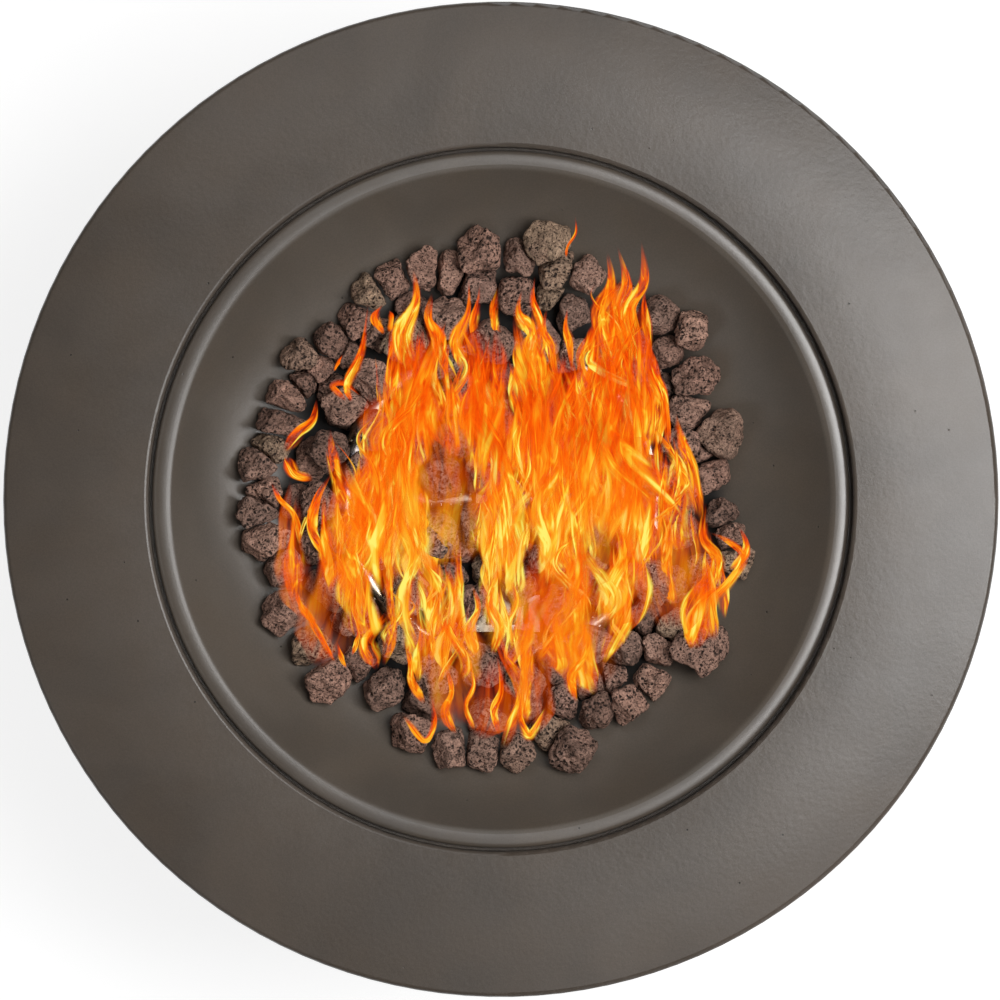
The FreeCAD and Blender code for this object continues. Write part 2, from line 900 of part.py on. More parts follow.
def pilot_guard():
    """Sheet hood with rows of slots, which keeps stones off the probes."""
    guard = Piece("pilot_guard")
    inner_width = s.guard_half_width - s.guard_gauge
    inner_depth = s.guard_half_depth - s.guard_gauge
    outer = guard.sketch("XY_Plane", s.dish_floor)
    guard.add_outline(
        outer,
        rectangle(
            -s.guard_half_width,
            -s.pilot_offset - s.guard_half_depth,
            s.guard_half_width,
            -s.pilot_offset + s.guard_half_depth,
        ),
    )
    guard.pad(outer, s.guard_height)
    hollow = guard.sketch("XY_Plane", s.dish_floor)
    guard.add_outline(
        hollow,
        rectangle(
            -inner_width, -s.pilot_offset - inner_depth, inner_width, -s.pilot_offset + inner_depth
        ),
    )
    guard.pocket(hollow, s.guard_height - s.guard_gauge, reverse=True)
    slot_low = s.dish_floor + 7
    slot_high = s.dish_floor + s.guard_height - 7
    faces = guard.sketch("XZ_Plane", s.pilot_offset + s.guard_half_depth + 1)
    for step in range(-3, 4):
        centre = step * 7
        guard.add_outline(faces, rectangle(centre - 1.5, slot_low, centre + 1.5, slot_high))
    guard.pocket(faces, s.guard_half_depth * 2 + 2)
    ends = guard.sketch("YZ_Plane", -s.guard_half_width - 1)
    for step in (-1, 0, 1):
        centre = step * 7 - s.pilot_offset
        guard.add_outline(ends, rectangle(centre - 1.5, slot_low, centre + 1.5, slot_high))
    guard.pocket(ends, s.guard_half_width * 2 + 2, reverse=True)
    top = guard.sketch("XY_Plane", s.dish_floor + s.guard_height)
    for step in range(-2, 3):
        guard.add_outline(
            top,
            rectangle(step * 9 - 2, -s.pilot_offset - 8, step * 9 + 2, -s.pilot_offset + 8),
        )
    guard.pocket(top, s.guard_gauge * 2)


# ---------------------------------------------------------------- control panel and valve

panel_front = s.niche_back + s.panel_gauge


def control_panel():
    panel = Piece("control_panel")
    sheet = panel.sketch("XZ_Plane", s.niche_back)
    panel.add_outline(
        sheet,
        rounded_rectangle(
            s.panel_half_width,
            s.panel_level - s.panel_half_height,
            s.panel_level + s.panel_half_height,
            as_size(8),
        ),
    )
    panel.add_circles(sheet, [(-s.knob_offset, s.panel_level)], s.stem_radius + 1.5)
    panel.add_circles(sheet, [(s.igniter_offset, s.panel_level)], s.igniter_barrel + 0.2)
    panel.add_circles(sheet, panel_screw_centres(s.panel_level), s.screw_shank)
    panel.pad(sheet, s.panel_gauge)


def panel_screws():
    screws = Piece("panel_screws")
    centres = panel_screw_centres(s.panel_level)
    heads = screws.sketch("XZ_Plane", panel_front)
    screws.add_circles(heads, centres, 3.6)
    screws.pad(heads, 2)
    shanks = screws.sketch("XZ_Plane", panel_front)
    screws.add_circles(shanks, centres, s.screw_shank)
    screws.pad(shanks, s.panel_gauge + s.niche_wall + 4, reverse=True)


def knob_bezel():
    bezel = Piece("knob_bezel")
    hole = s.stem_radius + 1.5
    bezel.turn([(hole, 0), (s.knob_radius + 5, 0), (s.knob_radius + 4, 1), (hole, 1)])
    bezel.place(-s.knob_offset, -panel_front, s.panel_level, FACING_FRONT)


def control_knob():
    """Turned knob with a finger bar; local Z runs from its back face to its front."""
    knob = Piece("control_knob")
    knob.turn(
        [
            (s.knob_radius - 2, 0),
            (s.knob_radius, 2),
            (s.knob_radius, 6),
            (s.knob_radius - 3, 9),
            (s.knob_radius - 4, s.knob_length - 2),
            (s.knob_radius - 6, s.knob_length),
            (0, s.knob_length),
            (0, 16),
            (6, 16),
            (6, 0),
            (8, 0),
            (8, 7),
            (s.knob_radius - 6, 7),
            (s.knob_radius - 6, 0),
        ]
    )
    sides = knob.sketch("XY_Plane", s.knob_length)
    bar_half = 6
    knob.add_outline(sides, rectangle(bar_half, -s.knob_radius, s.knob_radius, s.knob_radius))
    knob.add_outline(sides, rectangle(-s.knob_radius, -s.knob_radius, -bar_half, s.knob_radius))
    knob.pocket(sides, s.knob_length - 9.5)
    notch = knob.sketch("XY_Plane", s.knob_length)
    knob.add_outline(notch, rectangle(-0.8, 4, 0.8, s.knob_radius))
    knob.pocket(notch, 1)
    knob.place(-s.knob_offset, -panel_front - s.knob_gap, s.panel_level, FACING_FRONT)


def knob_insert():
    """Steel sleeve pressed in the knob, with the D-shaped bore that the stem fills."""
    insert = Piece("knob_insert")
    insert.turn([(0, 0), (5.9, 0), (5.9, 16), (0, 16)])
    bore = insert.sketch()
    clearance = s.running_clearance
    insert.add_outline(bore, d_section(s.stem_radius + clearance, s.stem_flat + clearance))
    insert.pocket(bore, 14, reverse=True)
    insert.place(-s.knob_offset, -panel_front - s.knob_gap, s.panel_level, FACING_FRONT)


def d_section(radius, flat):
    """A round section with one flat, at the given distance from the centre."""
    half = (radius * radius - flat * flat).root()
    return [curve_to(flat, -half, radius), (flat, half), curve_to(-radius, 0, radius)]


STEM_SHOULDER = 9.5
STEM_TAIL = 18.5


def valve_stem():
    """Stem through panel and valve; local Z = 0 is the panel's front face, positive outwards."""
    stem = Piece("valve_stem")
    shoulder = -STEM_SHOULDER
    outer_end = s.knob_gap + 13.5
    stem.turn(
        [
            (0, -STEM_TAIL),
            (s.stem_radius, -STEM_TAIL),
            (s.stem_radius, shoulder - 1.5),
            (5.5, shoulder - 1.5),
            (5.5, shoulder),
            (s.stem_radius, shoulder),
            (s.stem_radius, outer_end),
            (0, outer_end),
        ]
    )
    flat = stem.sketch("XY_Plane", outer_end)
    beyond = s.stem_radius + 1
    stem.add_outline(flat, rectangle(s.stem_flat, -beyond, beyond, beyond))
    stem.pocket(flat, 13.5)
    stem.place(-s.knob_offset, -panel_front, s.panel_level, FACING_FRONT)


def stem_collar():
    """Spring seat that slides in the valve's bore with the stem but doesn't turn."""
    collar = Piece("stem_collar")
    top = -STEM_SHOULDER - 1.6
    bore = s.stem_radius + s.running_clearance
    collar.turn(rectangle(bore, top - 1.5, s.valve_bore - 0.1, top))
    collar.place(-s.knob_offset, -panel_front, s.panel_level, FACING_FRONT)


def stem_bush():
    """Bush in the mouth of the valve's bore that the stem runs in."""
    bush = Piece("stem_bush")
    bore = s.stem_radius + s.running_clearance
    back = -s.panel_gauge
    bush.turn(rectangle(bore, back - 4, s.valve_bore, back))
    bush.place(-s.knob_offset, -panel_front, s.panel_level, FACING_FRONT)


def wound_spring(label, coil_radius, wire_side, height, turns):
    """Compression spring of square wire, faceted along its helix."""
    per_turn = 10
    steps = int(turns * per_turn)
    rise = height - wire_side
    path = []
    for step in range(steps + 1):
        angle = 2 * math.pi * step / per_turn
        level = wire_side / 2 + rise * step / steps
        path.append(Vector(coil_radius * math.cos(angle), coil_radius * math.sin(angle), level))
    half = wire_side / 2
    across = [
        Vector(coil_radius - half, 0, path[0].z - half),
        Vector(coil_radius + half, 0, path[0].z - half),
        Vector(coil_radius + half, 0, path[0].z + half),
        Vector(coil_radius - half, 0, path[0].z + half),
    ]
    section = Part.makePolygon(across + across[:1])
    spring = doc.addObject("Part::Feature", label)
    right_corner = 1
    spring.Shape = Part.makePolygon(path).makePipeShell([section], True, False, right_corner)
    spring.Label = label
    pieces.append(spring)
    return spring


def valve_spring():
    seat = STEM_SHOULDER + 3.2
    depth = s.panel_gauge.value + s.valve_depth.value
    spring = wound_spring("valve_spring", 5.2, 0.9, depth - seat - 0.2, 4)
    bore_end = -s.niche_back + s.valve_depth
    put(spring, -s.knob_offset, bore_end - 0.1, s.panel_level, FACING_FRONT)


VALVE_BLOCK = 30
VALVE_LENGTH = 52
VALVE_NOSE = 12
VALVE_PORT_AT = 41
VALVE_INLET_REACH = 28
VALVE_SOCKET_REACH = 24


def valve_body():
    """Brass valve behind the panel; local Z = 0 is its front flange, negative towards the back."""
    valve = Piece("valve_body")
    block = valve.sketch()
    valve.add_outline(block, rounded_rectangle(24, as_size(-17), as_size(17), as_size(4)))
    valve.pad(block, VALVE_BLOCK, reverse=True)
    barrel = valve.sketch("XY_Plane", -VALVE_BLOCK)
    valve.add_circles(barrel, [(0, 0)], 14)
    valve.pad(barrel, VALVE_LENGTH - VALVE_BLOCK, reverse=True)
    nose = valve.sketch("XY_Plane", -VALVE_LENGTH)
    valve.add_circles(nose, [(0, 0)], 8)
    valve.pad(nose, VALVE_NOSE, reverse=True)
    # the sketch plane's normal is local -Y, so the inlet points down and the probe socket up
    inlet = valve.sketch("XZ_Plane", 12)
    valve.add_circles(inlet, [(0, -VALVE_PORT_AT)], 8)
    valve.pad(inlet, VALVE_INLET_REACH - 12)
    socket = valve.sketch("XZ_Plane", -12)
    valve.add_circles(socket, [(0, -VALVE_PORT_AT)], 5)
    valve.pad(socket, VALVE_SOCKET_REACH - 12, reverse=True)
    bore = valve.sketch()
    valve.add_circles(bore, [(0, 0)], s.valve_bore)
    valve.pocket(bore, s.valve_depth)
    valve.place(-s.knob_offset, -s.niche_back, s.panel_level, FACING_FRONT)


# ---------------------------------------------------------------- igniter

IGNITER_BACK = 54


def igniter_body():
    """Battery housing through the panel; local Z = 0 is the panel's front face."""
    body = Piece("igniter_body")
    body.turn(
        [
            (0, -IGNITER_BACK - 8),
            (4, -IGNITER_BACK - 8),
            (4, -IGNITER_BACK),
            (s.igniter_barrel - 1, -IGNITER_BACK),
            (s.igniter_barrel, -IGNITER_BACK + 1),
            (s.igniter_barrel, 0),
            (s.igniter_cap + 0.5, 0),
            (s.igniter_cap + 0.5, 2),
            (s.igniter_barrel, 2),
            (s.igniter_barrel, s.igniter_reach),
            (10, s.igniter_reach),
            (10, s.igniter_reach - 7),
            (s.cell_radius + 0.4, s.igniter_reach - 7),
            (s.cell_radius + 0.4, s.igniter_reach - 7 - s.cell_length),
            (0, s.igniter_reach - 7 - s.cell_length),
        ]
    )
    body.place(s.igniter_offset, -panel_front, s.panel_level, FACING_FRONT)


def igniter_nut():
    nut = hex_nut("igniter_nut", 27, 5, s.igniter_barrel + s.running_clearance)
    nut.place(s.igniter_offset, -s.niche_back + 5, s.panel_level, FACING_FRONT)


def igniter_battery():
    cell = Piece("igniter_battery")
    bottom = s.igniter_reach - 7 - s.cell_length
    cell.turn(
        [
            (0, bottom),
            (s.cell_radius, bottom),
            (s.cell_radius, bottom + s.cell_length - 1.2),
            (2, bottom + s.cell_length - 1.2),
            (2, bottom + s.cell_length),
            (0, bottom + s.cell_length),
        ]
    )
    cell.place(s.igniter_offset, -panel_front, s.panel_level, FACING_FRONT)


CAP_FRONT = 16.5


def igniter_cap():
    """Screw cap that holds the push button and lets the battery out."""
    cap = Piece("igniter_cap")
    inside = s.igniter_barrel + 0.1
    cap.turn(
        [
            (inside, 2.3),
            (s.igniter_cap, 2.3),
            (s.igniter_cap, CAP_FRONT - 1.5),
            (s.igniter_cap - 1.5, CAP_FRONT),
            (s.button_radius + 0.3, CAP_FRONT),
            (s.button_radius + 0.3, CAP_FRONT - 2),
            (inside, CAP_FRONT - 2),
        ]
    )
    cap.place(s.igniter_offset, -panel_front, s.panel_level, FACING_FRONT)


def igniter_button():
    button = Piece("igniter_button")
    flange_front = CAP_FRONT - 2.1
    button.turn(
        [
            (0, flange_front - 1.5),
            (9.4, flange_front - 1.5),
            (9.4, flange_front),
            (s.button_radius, flange_front),
            (s.button_radius, CAP_FRONT + 3.5),
            (s.button_radius - 1.5, CAP_FRONT + 4.5),
            (0, CAP_FRONT + 4.5),
        ]
    )
    button.place(s.igniter_offset, -panel_front, s.panel_level, FACING_FRONT)


def igniter_spring():
    bottom = s.igniter_reach.value - 7 + 0.1
    top = CAP_FRONT - 3.7
    spring = wound_spring("igniter_spring", 3.6, 0.8, top - bottom, 4)
    put(spring, s.igniter_offset, -panel_front - bottom, s.panel_level, FACING_FRONT)


# ---------------------------------------------------------------- gas inlet

BRACKET_GAUGE = 2.5
BRACKET_SCREW_GRIP = 8
FLARE_LENGTH = 18
INLET_HEX = 8


def inlet_bracket():
    """Angle plate on the base that holds the bulkhead fitting."""
    bracket = Piece("inlet_bracket")
    gauge = BRACKET_GAUGE
    profile = bracket.sketch("YZ_Plane")
    front = s.inlet_bracket_at
    bracket.add_outline(
        profile,
        [
            (front - 26, base_top),
            (front, base_top),
            (front, s.hose_level + 18),
            (front - gauge, s.hose_level + 18),
            (front - gauge, base_top + gauge),
            (front - 26, base_top + gauge),
        ],
    )
    bracket.pad(profile, 44, middle=True)
    hole = bracket.sketch("XZ_Plane")
    bracket.add_circles(hole, [(0, s.hose_level)], s.flare_thread + s.running_clearance)
    bracket.pocket(hole, front + 5)
    screw_holes = bracket.sketch("XY_Plane", base_top + gauge)
    bracket.add_circles(screw_holes, bracket_screw_centres(), s.screw_shank)
    bracket.pocket(screw_holes, gauge + 2)


def bracket_screw_centres():
    return [(side * 15, s.inlet_bracket_at - 16) for side in (-1, 1)]


def bracket_screws():
    screws = Piece("bracket_screws")
    top = base_top + BRACKET_GAUGE
    heads = screws.sketch("XY_Plane", top)
    screws.add_circles(heads, bracket_screw_centres(), 3.6)
    screws.pad(heads, 2)
    shanks = screws.sketch("XY_Plane", top)
    screws.add_circles(shanks, bracket_screw_centres(), s.screw_shank)
    screws.pad(shanks, BRACKET_GAUGE + BRACKET_SCREW_GRIP - 1, reverse=True)


def inlet_fitting():
    """Bulkhead flare fitting; local Z = 0 is the bracket's outer face, positive out of the bowl."""
    fitting = Piece("inlet_fitting")
    fitting.turn(
        [
            (s.gas_tube_radius + s.running_clearance, -18),
            (s.flare_thread, -18),
            (s.flare_thread, INLET_HEX + FLARE_LENGTH),
            (5, INLET_HEX + FLARE_LENGTH + 3),
            (3.5, INLET_HEX + FLARE_LENGTH + 3),
            (3.5, -6),
            (s.gas_tube_radius + s.running_clearance, -6),
        ]
    )
    collar = fitting.sketch()
    fitting.add_outline(collar, hexagon(22))
    fitting.add_circles(collar, [(0, 0)], 5)
    fitting.pad(collar, INLET_HEX)
    fitting.place(0, s.inlet_bracket_at, s.hose_level, FACING_BACK)


def inlet_locknut():
    nut = hex_nut("inlet_locknut", 22, 6, s.flare_thread + s.running_clearance)
    nut.place(0, s.inlet_bracket_at - BRACKET_GAUGE - 6, s.hose_level, FACING_BACK)


# ---------------------------------------------------------------- tubes and leads

def routed(label, points, radii, radius):
    """Round tube or lead along straight runs joined by tangent arcs, one radius per inner point."""
    points = [Vector(*point) for point in points]
    edges = []
    start = points[0]
    length = 0.0
    for before, corner, after, bend in zip(points, points[1:], points[2:], radii):
        into = (corner - before).normalize()
        out = (after - corner).normalize()
        half_turn = into.getAngle(out) / 2
        setback = bend * math.tan(half_turn)
        enter = corner - into * setback
        leave = corner + out * setback
        to_centre = (out - into).normalize()
        centre = corner + to_centre * (bend / math.cos(half_turn))
        middle = centre - to_centre * bend
        edges.append(Part.LineSegment(start, enter).toShape())
        edges.append(Part.Arc(enter, middle, leave).toShape())
        length += start.distanceToPoint(enter) + 2 * half_turn * bend
        start = leave
    edges.append(Part.LineSegment(start, points[-1]).toShape())
    length += start.distanceToPoint(points[-1])
    section = Part.Wire(Part.makeCircle(radius, points[0], points[1] - points[0]))
    item = doc.addObject("Part::Feature", label)
    item.Shape = Part.Wire(edges).makePipeShell([section], True, True)
    expected = math.pi * radius * radius * length
    if abs(item.Shape.Volume - expected) > 0.01 * expected:
        raise RuntimeError(f"{label} has volume {item.Shape.Volume}, not {expected}")
    item.Label = label
    pieces.append(item)


def supply_tube():
    """From the valve's nose to the elbow under the burner."""
    level = s.panel_level.value
    x = -s.knob_offset.value
    nose = -s.niche_back.value + VALVE_LENGTH + VALVE_NOSE
    elbow = s.elbow_level.value
    routed(
        "supply_tube",
        [
            (x, nose, level),
            (x, nose + 45, level),
            (0, -ELBOW_REACH - 55, elbow),
            (0, -ELBOW_REACH, elbow),
        ],
        [60, 60],
        s.gas_tube_radius.value,
    )


def inlet_tube():
    """From the valve's inlet down and across the bowl to the bulkhead fitting."""
    x = -s.knob_offset.value
    y = -s.niche_back.value + VALVE_PORT_AT
    bottom = s.panel_level.value - VALVE_INLET_REACH
    level = s.hose_level.value
    end = s.inlet_bracket_at.value - 6
    routed(
        "inlet_tube",
        [
            (x, y, bottom),
            (x, y, bottom - 34),
            (x, y + 70, level),
            (0, end - 70, level),
            (0, end, level),
        ],
        [28, 60, 120],
        s.gas_tube_radius.value,
    )


def electrode_lead():
    """High-voltage lead from the igniter's tail to the spark rod."""
    x = s.igniter_offset.value
    tail = -panel_front.value + IGNITER_BACK + 8
    level = s.panel_level.value
    probe_x, probe_y = -s.probe_spacing.value, -s.pilot_offset.value
    routed(
        "electrode_lead",
        [
            (x, tail, level),
            (x, tail + 30, level),
            (x - 20, tail + 62, level + 22),
            (probe_x, probe_y, level + 40),
            (probe_x, probe_y, PROBE_BOTTOM),
        ],
        [22, 22, 20],
        1.8,
    )


def thermocouple_lead():
    """Copper lead from the thermocouple to the valve's socket."""
    x = -s.knob_offset.value
    y = -s.niche_back.value + VALVE_PORT_AT
    top = s.panel_level.value + VALVE_SOCKET_REACH
    probe_x, probe_y = s.probe_spacing.value, -s.pilot_offset.value
    routed(
        "thermocouple_lead",
        [
            (probe_x, probe_y, PROBE_BOTTOM),
            (probe_x, probe_y, PROBE_BOTTOM - 24),
            (probe_x - 10, probe_y - 60, PROBE_BOTTOM - 14),
            (x, y, PROBE_BOTTOM - 12),
            (x, y, top),
        ],
        [14, 24, 12],
        1.2,
    )


# ---------------------------------------------------------------- lava stones

# stones that lie in view round the edge of the heap: x, y and mean width
EDGE_STONES = [
    (-54, 165, 29), (-79, 156, 27), (-94, 147, 26), (-103, 129, 27), (-121, 113, 26),
    (-111, 104, 20), (-144, 102, 26), (-130, 94, 22), (-143, 84, 21), (-124, 81, 22),
    (-99, 89, 25), (-154, 73, 28), (-160, 54, 30), (-164, 39, 25), (-112, 63, 27),
    (-171, 4, 26), (-38, 163, 28), (-14, 176, 36), (-16, 156, 30), (32, 184, 33),
    (13, 172, 29), (13, 149, 34), (39, 165, 31), (59, 159, 25), (34, 146, 22),
    (51, 136, 29), (116, 132, 27), (137, 123, 28), (120, 106, 27), (138, 86, 32),
    (114, 81, 25), (134, 63, 31), (156, 46, 35), (144, 35, 26), (151, 19, 28),
    (-176, -9, 29), (-170, -29, 30), (-156, -50, 31), (-155, -79, 31), (-136, -106, 29),
    (-124, -129, 31), (-101, -117, 25), (-111, -86, 24), (-84, -135, 31), (-56, -146, 31),
    (-64, -166, 30), (-36, -179, 28), (-14, -179, 27), (159, -10, 25), (168, -44, 25),
    (147, -54, 31), (126, -60, 29), (105, -85, 27), (122, -92, 26), (143, -106, 36),
    (91, -110, 29), (113, -109, 26), (84, -129, 27), (106, -129, 26), (64, -134, 29),
    (69, -149, 28), (91, -146, 28), (43, -144, 29), (34, -167, 27), (51, -179, 34),
    (11, -181, 27), (20, -146, 26), (-177, 24, 25), (165, -28, 24), (-90, 120, 26),
    (-64, 134, 27), (88, 141, 26), (96, 112, 25), (-135, 30, 27), (-144, -2, 27),
    (-132, -32, 27), (-128, -62, 26), (132, 8, 27), (130, -22, 26), (-10, -158, 27),
]
STONE_NODES = 12
# inner stones, scattered by chance: (how many, least and most distance from the axis, level range)
LOWER_LAYER = (24, 40, 88, 251, 254)
UPPER_LAYER = (62, 0, 134, 270, 277)
INNER_WIDTHS = (27.0, 34.0)
FACES_PER_STONE = 8
SHALLOW_CUT = 0.45
SMALLEST_STONE = 1500
MERGE_REACHES = (0.3, 0.1, 0.03, 0.01)
# how far the spheres strung along a tube stand out from it, to cover it between their centres too
TUBE_COVER = 1.6
TRIES_PER_LAYER = 6000


def cut_faces(faces, normal, limit):
    """Clips a convex set of polygon faces to normal . point <= limit, closing the cut."""
    depth = max(normal.dot(point) for face in faces for point in face) - limit
    if depth < SHALLOW_CUT:
        return faces
    kept, rim = [], []
    for face in faces:
        polygon = []
        for index, point in enumerate(face):
            before = face[index - 1]
            here, there = normal.dot(point) - limit, normal.dot(before) - limit
            if (here <= 0) != (there <= 0):
                crossing = before + (point - before) * (there / (there - here))
                polygon.append(crossing)
                rim.append(crossing)
            if here <= 0:
                polygon.append(point)
        if len(polygon) > 2:
            kept.append(polygon)
    if len(rim) < 3:
        return kept
    centre = sum(rim, Vector()) * (1 / len(rim))
    across = (rim[0] - centre).normalize()
    along = normal.cross(across)
    rim.sort(key=lambda point: math.atan2((point - centre).dot(along), (point - centre).dot(across)))
    loop = [point for index, point in enumerate(rim) if (point - rim[index - 1]).Length > 1e-6]
    kept.append(loop)
    return kept


def merged(faces, reach):
    """Joins corners closer than the reach, and splits every face into triangles."""
    corners = []

    def corner_of(point):
        for index, other in enumerate(corners):
            if (point - other).Length < reach:
                return index
        corners.append(point)
        return len(corners) - 1

    triangles = []
    for face in faces:
        loop = []
        for point in face:
            index = corner_of(point)
            if index not in loop:
                loop.append(index)
        for second, third in zip(loop[1:], loop[2:]):
            triangles.append((loop[0], second, third))
    return corners, triangles


def is_closed(corners, triangles):
    """A triangulated surface without holes or pinches has two corners more than half its triangles."""
    used = {index for triangle in triangles for index in triangle}
    edges = {
        (triangle[side], triangle[(side + 1) % 3]) for triangle in triangles for side in range(3)
    }
    paired = all((end, start) in edges for start, end in edges)
    return paired and len(edges) == 3 * len(triangles) and len(used) - len(triangles) / 2 == 2


def faceted_solid(faces):
    """Polygon faces as a solid, with its shortest edges joined as far as that leaves it closed."""
    for reach in MERGE_REACHES:
        corners, triangles = merged(faces, reach)
        if is_closed(corners, triangles):
            break
    shells = []
    for triangle in triangles:
        points = [corners[index] for index in triangle]
        shells.append(Part.Face(Part.makePolygon(points + points[:1])))
    shell = Part.Shell(shells)
    shell.sewShape()
    solid = Part.Solid(shell)
    if solid.Volume < 0:
        solid.reverse()
    return solid


def block_faces(centre, half):
    """The six faces of a cube, each seen counter-clockwise from outside."""
    faces = []
    for axis in range(3):
        for side in (-1, 1):
            normal = [0, 0, 0]
            normal[axis] = side
            first = [0, 0, 0]
            first[(axis + 1) % 3] = 1
            second = Vector(*normal).cross(Vector(*first))
            first = Vector(*first)
            normal = Vector(*normal)
            loop = [(1, 1), (-1, 1), (-1, -1), (1, -1)]
            faces.append([centre + (normal + first * u + second * v) * half for u, v in loop])
    return faces


def random_direction(chance):
    level = chance.uniform(-1, 1)
    angle = chance.uniform(0, 2 * math.pi)
    flat = math.sqrt(1 - level * level)
    return Vector(flat * math.cos(angle), flat * math.sin(angle), level)


def spread_directions(chance, count):
    """Directions spread over a sphere along a spiral, turned by chance."""
    turn = Rotation(random_direction(chance), chance.uniform(0, 360))
    directions = []
    for index in range(count):
        level = 1 - (2 * index + 1) / count
        angle = index * math.pi * (3 - math.sqrt(5))
        flat = math.sqrt(1 - level * level)
        directions.append(turn.multVec(Vector(flat * math.cos(angle), flat * math.sin(angle), level)))
    return directions


def burner_obstacles():
    """Spheres that cover the burner, its legs and the pilot guard, as (centre, radius)."""
    level = s.burner_level.value
    circle = s.burner_circle.value
    floor = s.dish_floor.value
    tube = s.burner_tube.value + TUBE_COVER
    spheres = []
    around = 90
    for step in range(around):
        angle = 2 * math.pi * step / around
        spheres.append((Vector(circle * math.cos(angle), circle * math.sin(angle), level), tube))
    along = 14
    for step in range(-along, along + 1):
        spheres.append((Vector(step * circle / along, 0, level), tube))
    spheres.append((Vector(0, 0, level - 4), 1.2 * s.hub_radius.value))
    for step in (-1.5, -0.5, 0.5, 1.5):
        for height in (10, 22):
            centre = Vector(step * 14, -s.pilot_offset.value, floor + height)
            spheres.append((centre, 20))
    leg_cover = [(84, 4, 11), (93, 6, 12), (102, 9, 11), (113, 11, 11)]
    for quarter in range(4):
        angle = math.radians(45 + 90 * quarter)
        for distance, height, radius in leg_cover:
            centre = Vector(distance * math.cos(angle), distance * math.sin(angle), floor + height)
            spheres.append((centre, radius))
    return spheres


def scatter(chance, stones, layer):
    """Adds a layer of stones at chance spots that keep their distance from the ones there."""
    count, inner, outer, low, high = layer
    placed = 0
    for _ in range(TRIES_PER_LAYER):
        radius = math.sqrt(chance.uniform(inner * inner, outer * outer))
        angle = chance.uniform(0, 2 * math.pi)
        level = chance.uniform(low, high)
        width = chance.uniform(*INNER_WIDTHS)
        spot = Vector(radius * math.cos(angle), radius * math.sin(angle), level)
        if all((spot - other).Length > 0.41 * (width + size) for other, size in stones):
            stones.append((spot, width))
            placed += 1
        if placed == count:
            break


def heap():
    """Centre and width of every stone, edge stones first."""
    chance = random.Random(11)
    stones = []
    for x, y, width in EDGE_STONES:
        rest = dish_level(math.hypot(x, y)) + width * 0.42
        stones.append((Vector(x, y, rest), width))
    scatter(chance, stones, LOWER_LAYER)
    scatter(chance, stones, UPPER_LAYER)
    return stones


def lava_stones():
    """Convex chips, each clipped clear of its neighbours, the dish and the burner."""
    chance = random.Random(5)
    stones = heap()
    obstacles = burner_obstacles()
    floor_gap = 0.8
    solids = []
    for index, (centre, width) in enumerate(stones):
        half = width / 2
        faces = block_faces(centre, half * 1.5)
        long_way = random_direction(chance)
        for direction in spread_directions(chance, FACES_PER_STONE):
            stretch = 0.86 + 0.22 * abs(direction.dot(long_way)) + chance.uniform(-0.05, 0.05)
            faces = cut_faces(faces, direction, direction.dot(centre) + half * stretch)
        for other_index, (other, other_width) in enumerate(stones):
            apart = other - centre
            reach = apart.Length
            if other_index == index or reach > 0.75 * (width + other_width):
                continue
            share = width / (width + other_width)
            normal = apart * (1 / reach)
            limit = normal.dot(centre) + reach * share - s.stone_gap.value / 2
            faces = cut_faces(faces, normal, limit)
        for sphere, radius in obstacles:
            apart = sphere - centre
            reach = apart.Length
            if reach > radius + width or reach < 0.1:
                continue
            normal = apart * (1 / reach)
            faces = cut_faces(faces, normal, normal.dot(sphere) - radius)
        faces = cut_faces_to_dish(faces, centre, half, floor_gap)
        solid = faceted_solid(faces)
        if solid.isValid() and solid.Volume > SMALLEST_STONE:
            solids.append(solid)
    for group in range(STONE_NODES):
        label = f"lava_stones_{group + 1:02d}"
        node = doc.addObject("Part::Feature", label)
        node.Shape = Part.Compound(solids[group::STONE_NODES])
        node.Label = label
        pieces.append(node)
    return solids


def cut_faces_to_dish(faces, centre, half, gap):
    """The dish is hollow, so its face is followed by tangent planes at a few points under a stone."""
    faces = cut_faces(faces, Vector(0, 0, -1), -(s.dish_floor.value + gap))
    outward = Vector(centre.x, centre.y, 0)
    if outward.Length < 60:
        return faces
    outward.normalize()
    curve = s.dish_curve.value
    for step in (-0.8, -0.3, 0.3, 0.8):
        radius = math.hypot(centre.x, centre.y) + step * half
        out = radius - s.dish_flat_radius.value
        if out <= 0:
            continue
        slope = out / math.sqrt(curve * curve - out * out)
        normal = Vector(outward.x * slope, outward.y * slope, -1).normalize()
        point = outward * radius + Vector(0, 0, dish_level(radius) + gap)
        faces = cut_faces(faces, normal, normal.dot(point))
    return faces


# ---------------------------------------------------------------- flames

# Outline of the body of flame seen from above, clockwise from the upper left.
FLAME_OUTLINE = [
    (-66, 148), (-45, 150), (-30, 126), (-14, 146), (0, 138), (18, 146), (34, 126), (56, 116),
    (70, 146), (86, 172), (101, 168), (108, 112), (124, 62), (140, 18), (152, -18), (172, -36),
    (164, -64), (146, -92), (122, -76), (100, -82), (76, -112), (52, -138), (34, -154), (14, -166),
    (-22, -162), (-50, -164), (-68, -138), (-82, -112), (-108, -108), (-128, -96), (-144, -70),
    (-156, -36), (-164, 0), (-152, 28), (-132, 50), (-108, 58), (-98, 88), (-82, 128),
]
# how far up a tongue each of its rings is, and the ring's size as a share of the widest
TONGUE_RINGS = [(0.0, 0.28), (0.14, 0.7), (0.36, 1.0), (0.6, 0.78), (0.82, 0.4)]
TONGUE_SIDES = 6
# the gap under a tongue, and how far its tip sways and its middle bends sideways
TONGUE_GAP = 0.1
TONGUE_SWAY = 9
TONGUE_BEND = 5
# a tongue leans by its share of the way up to this power, so it starts upright
LEAN_POWER = 1.6
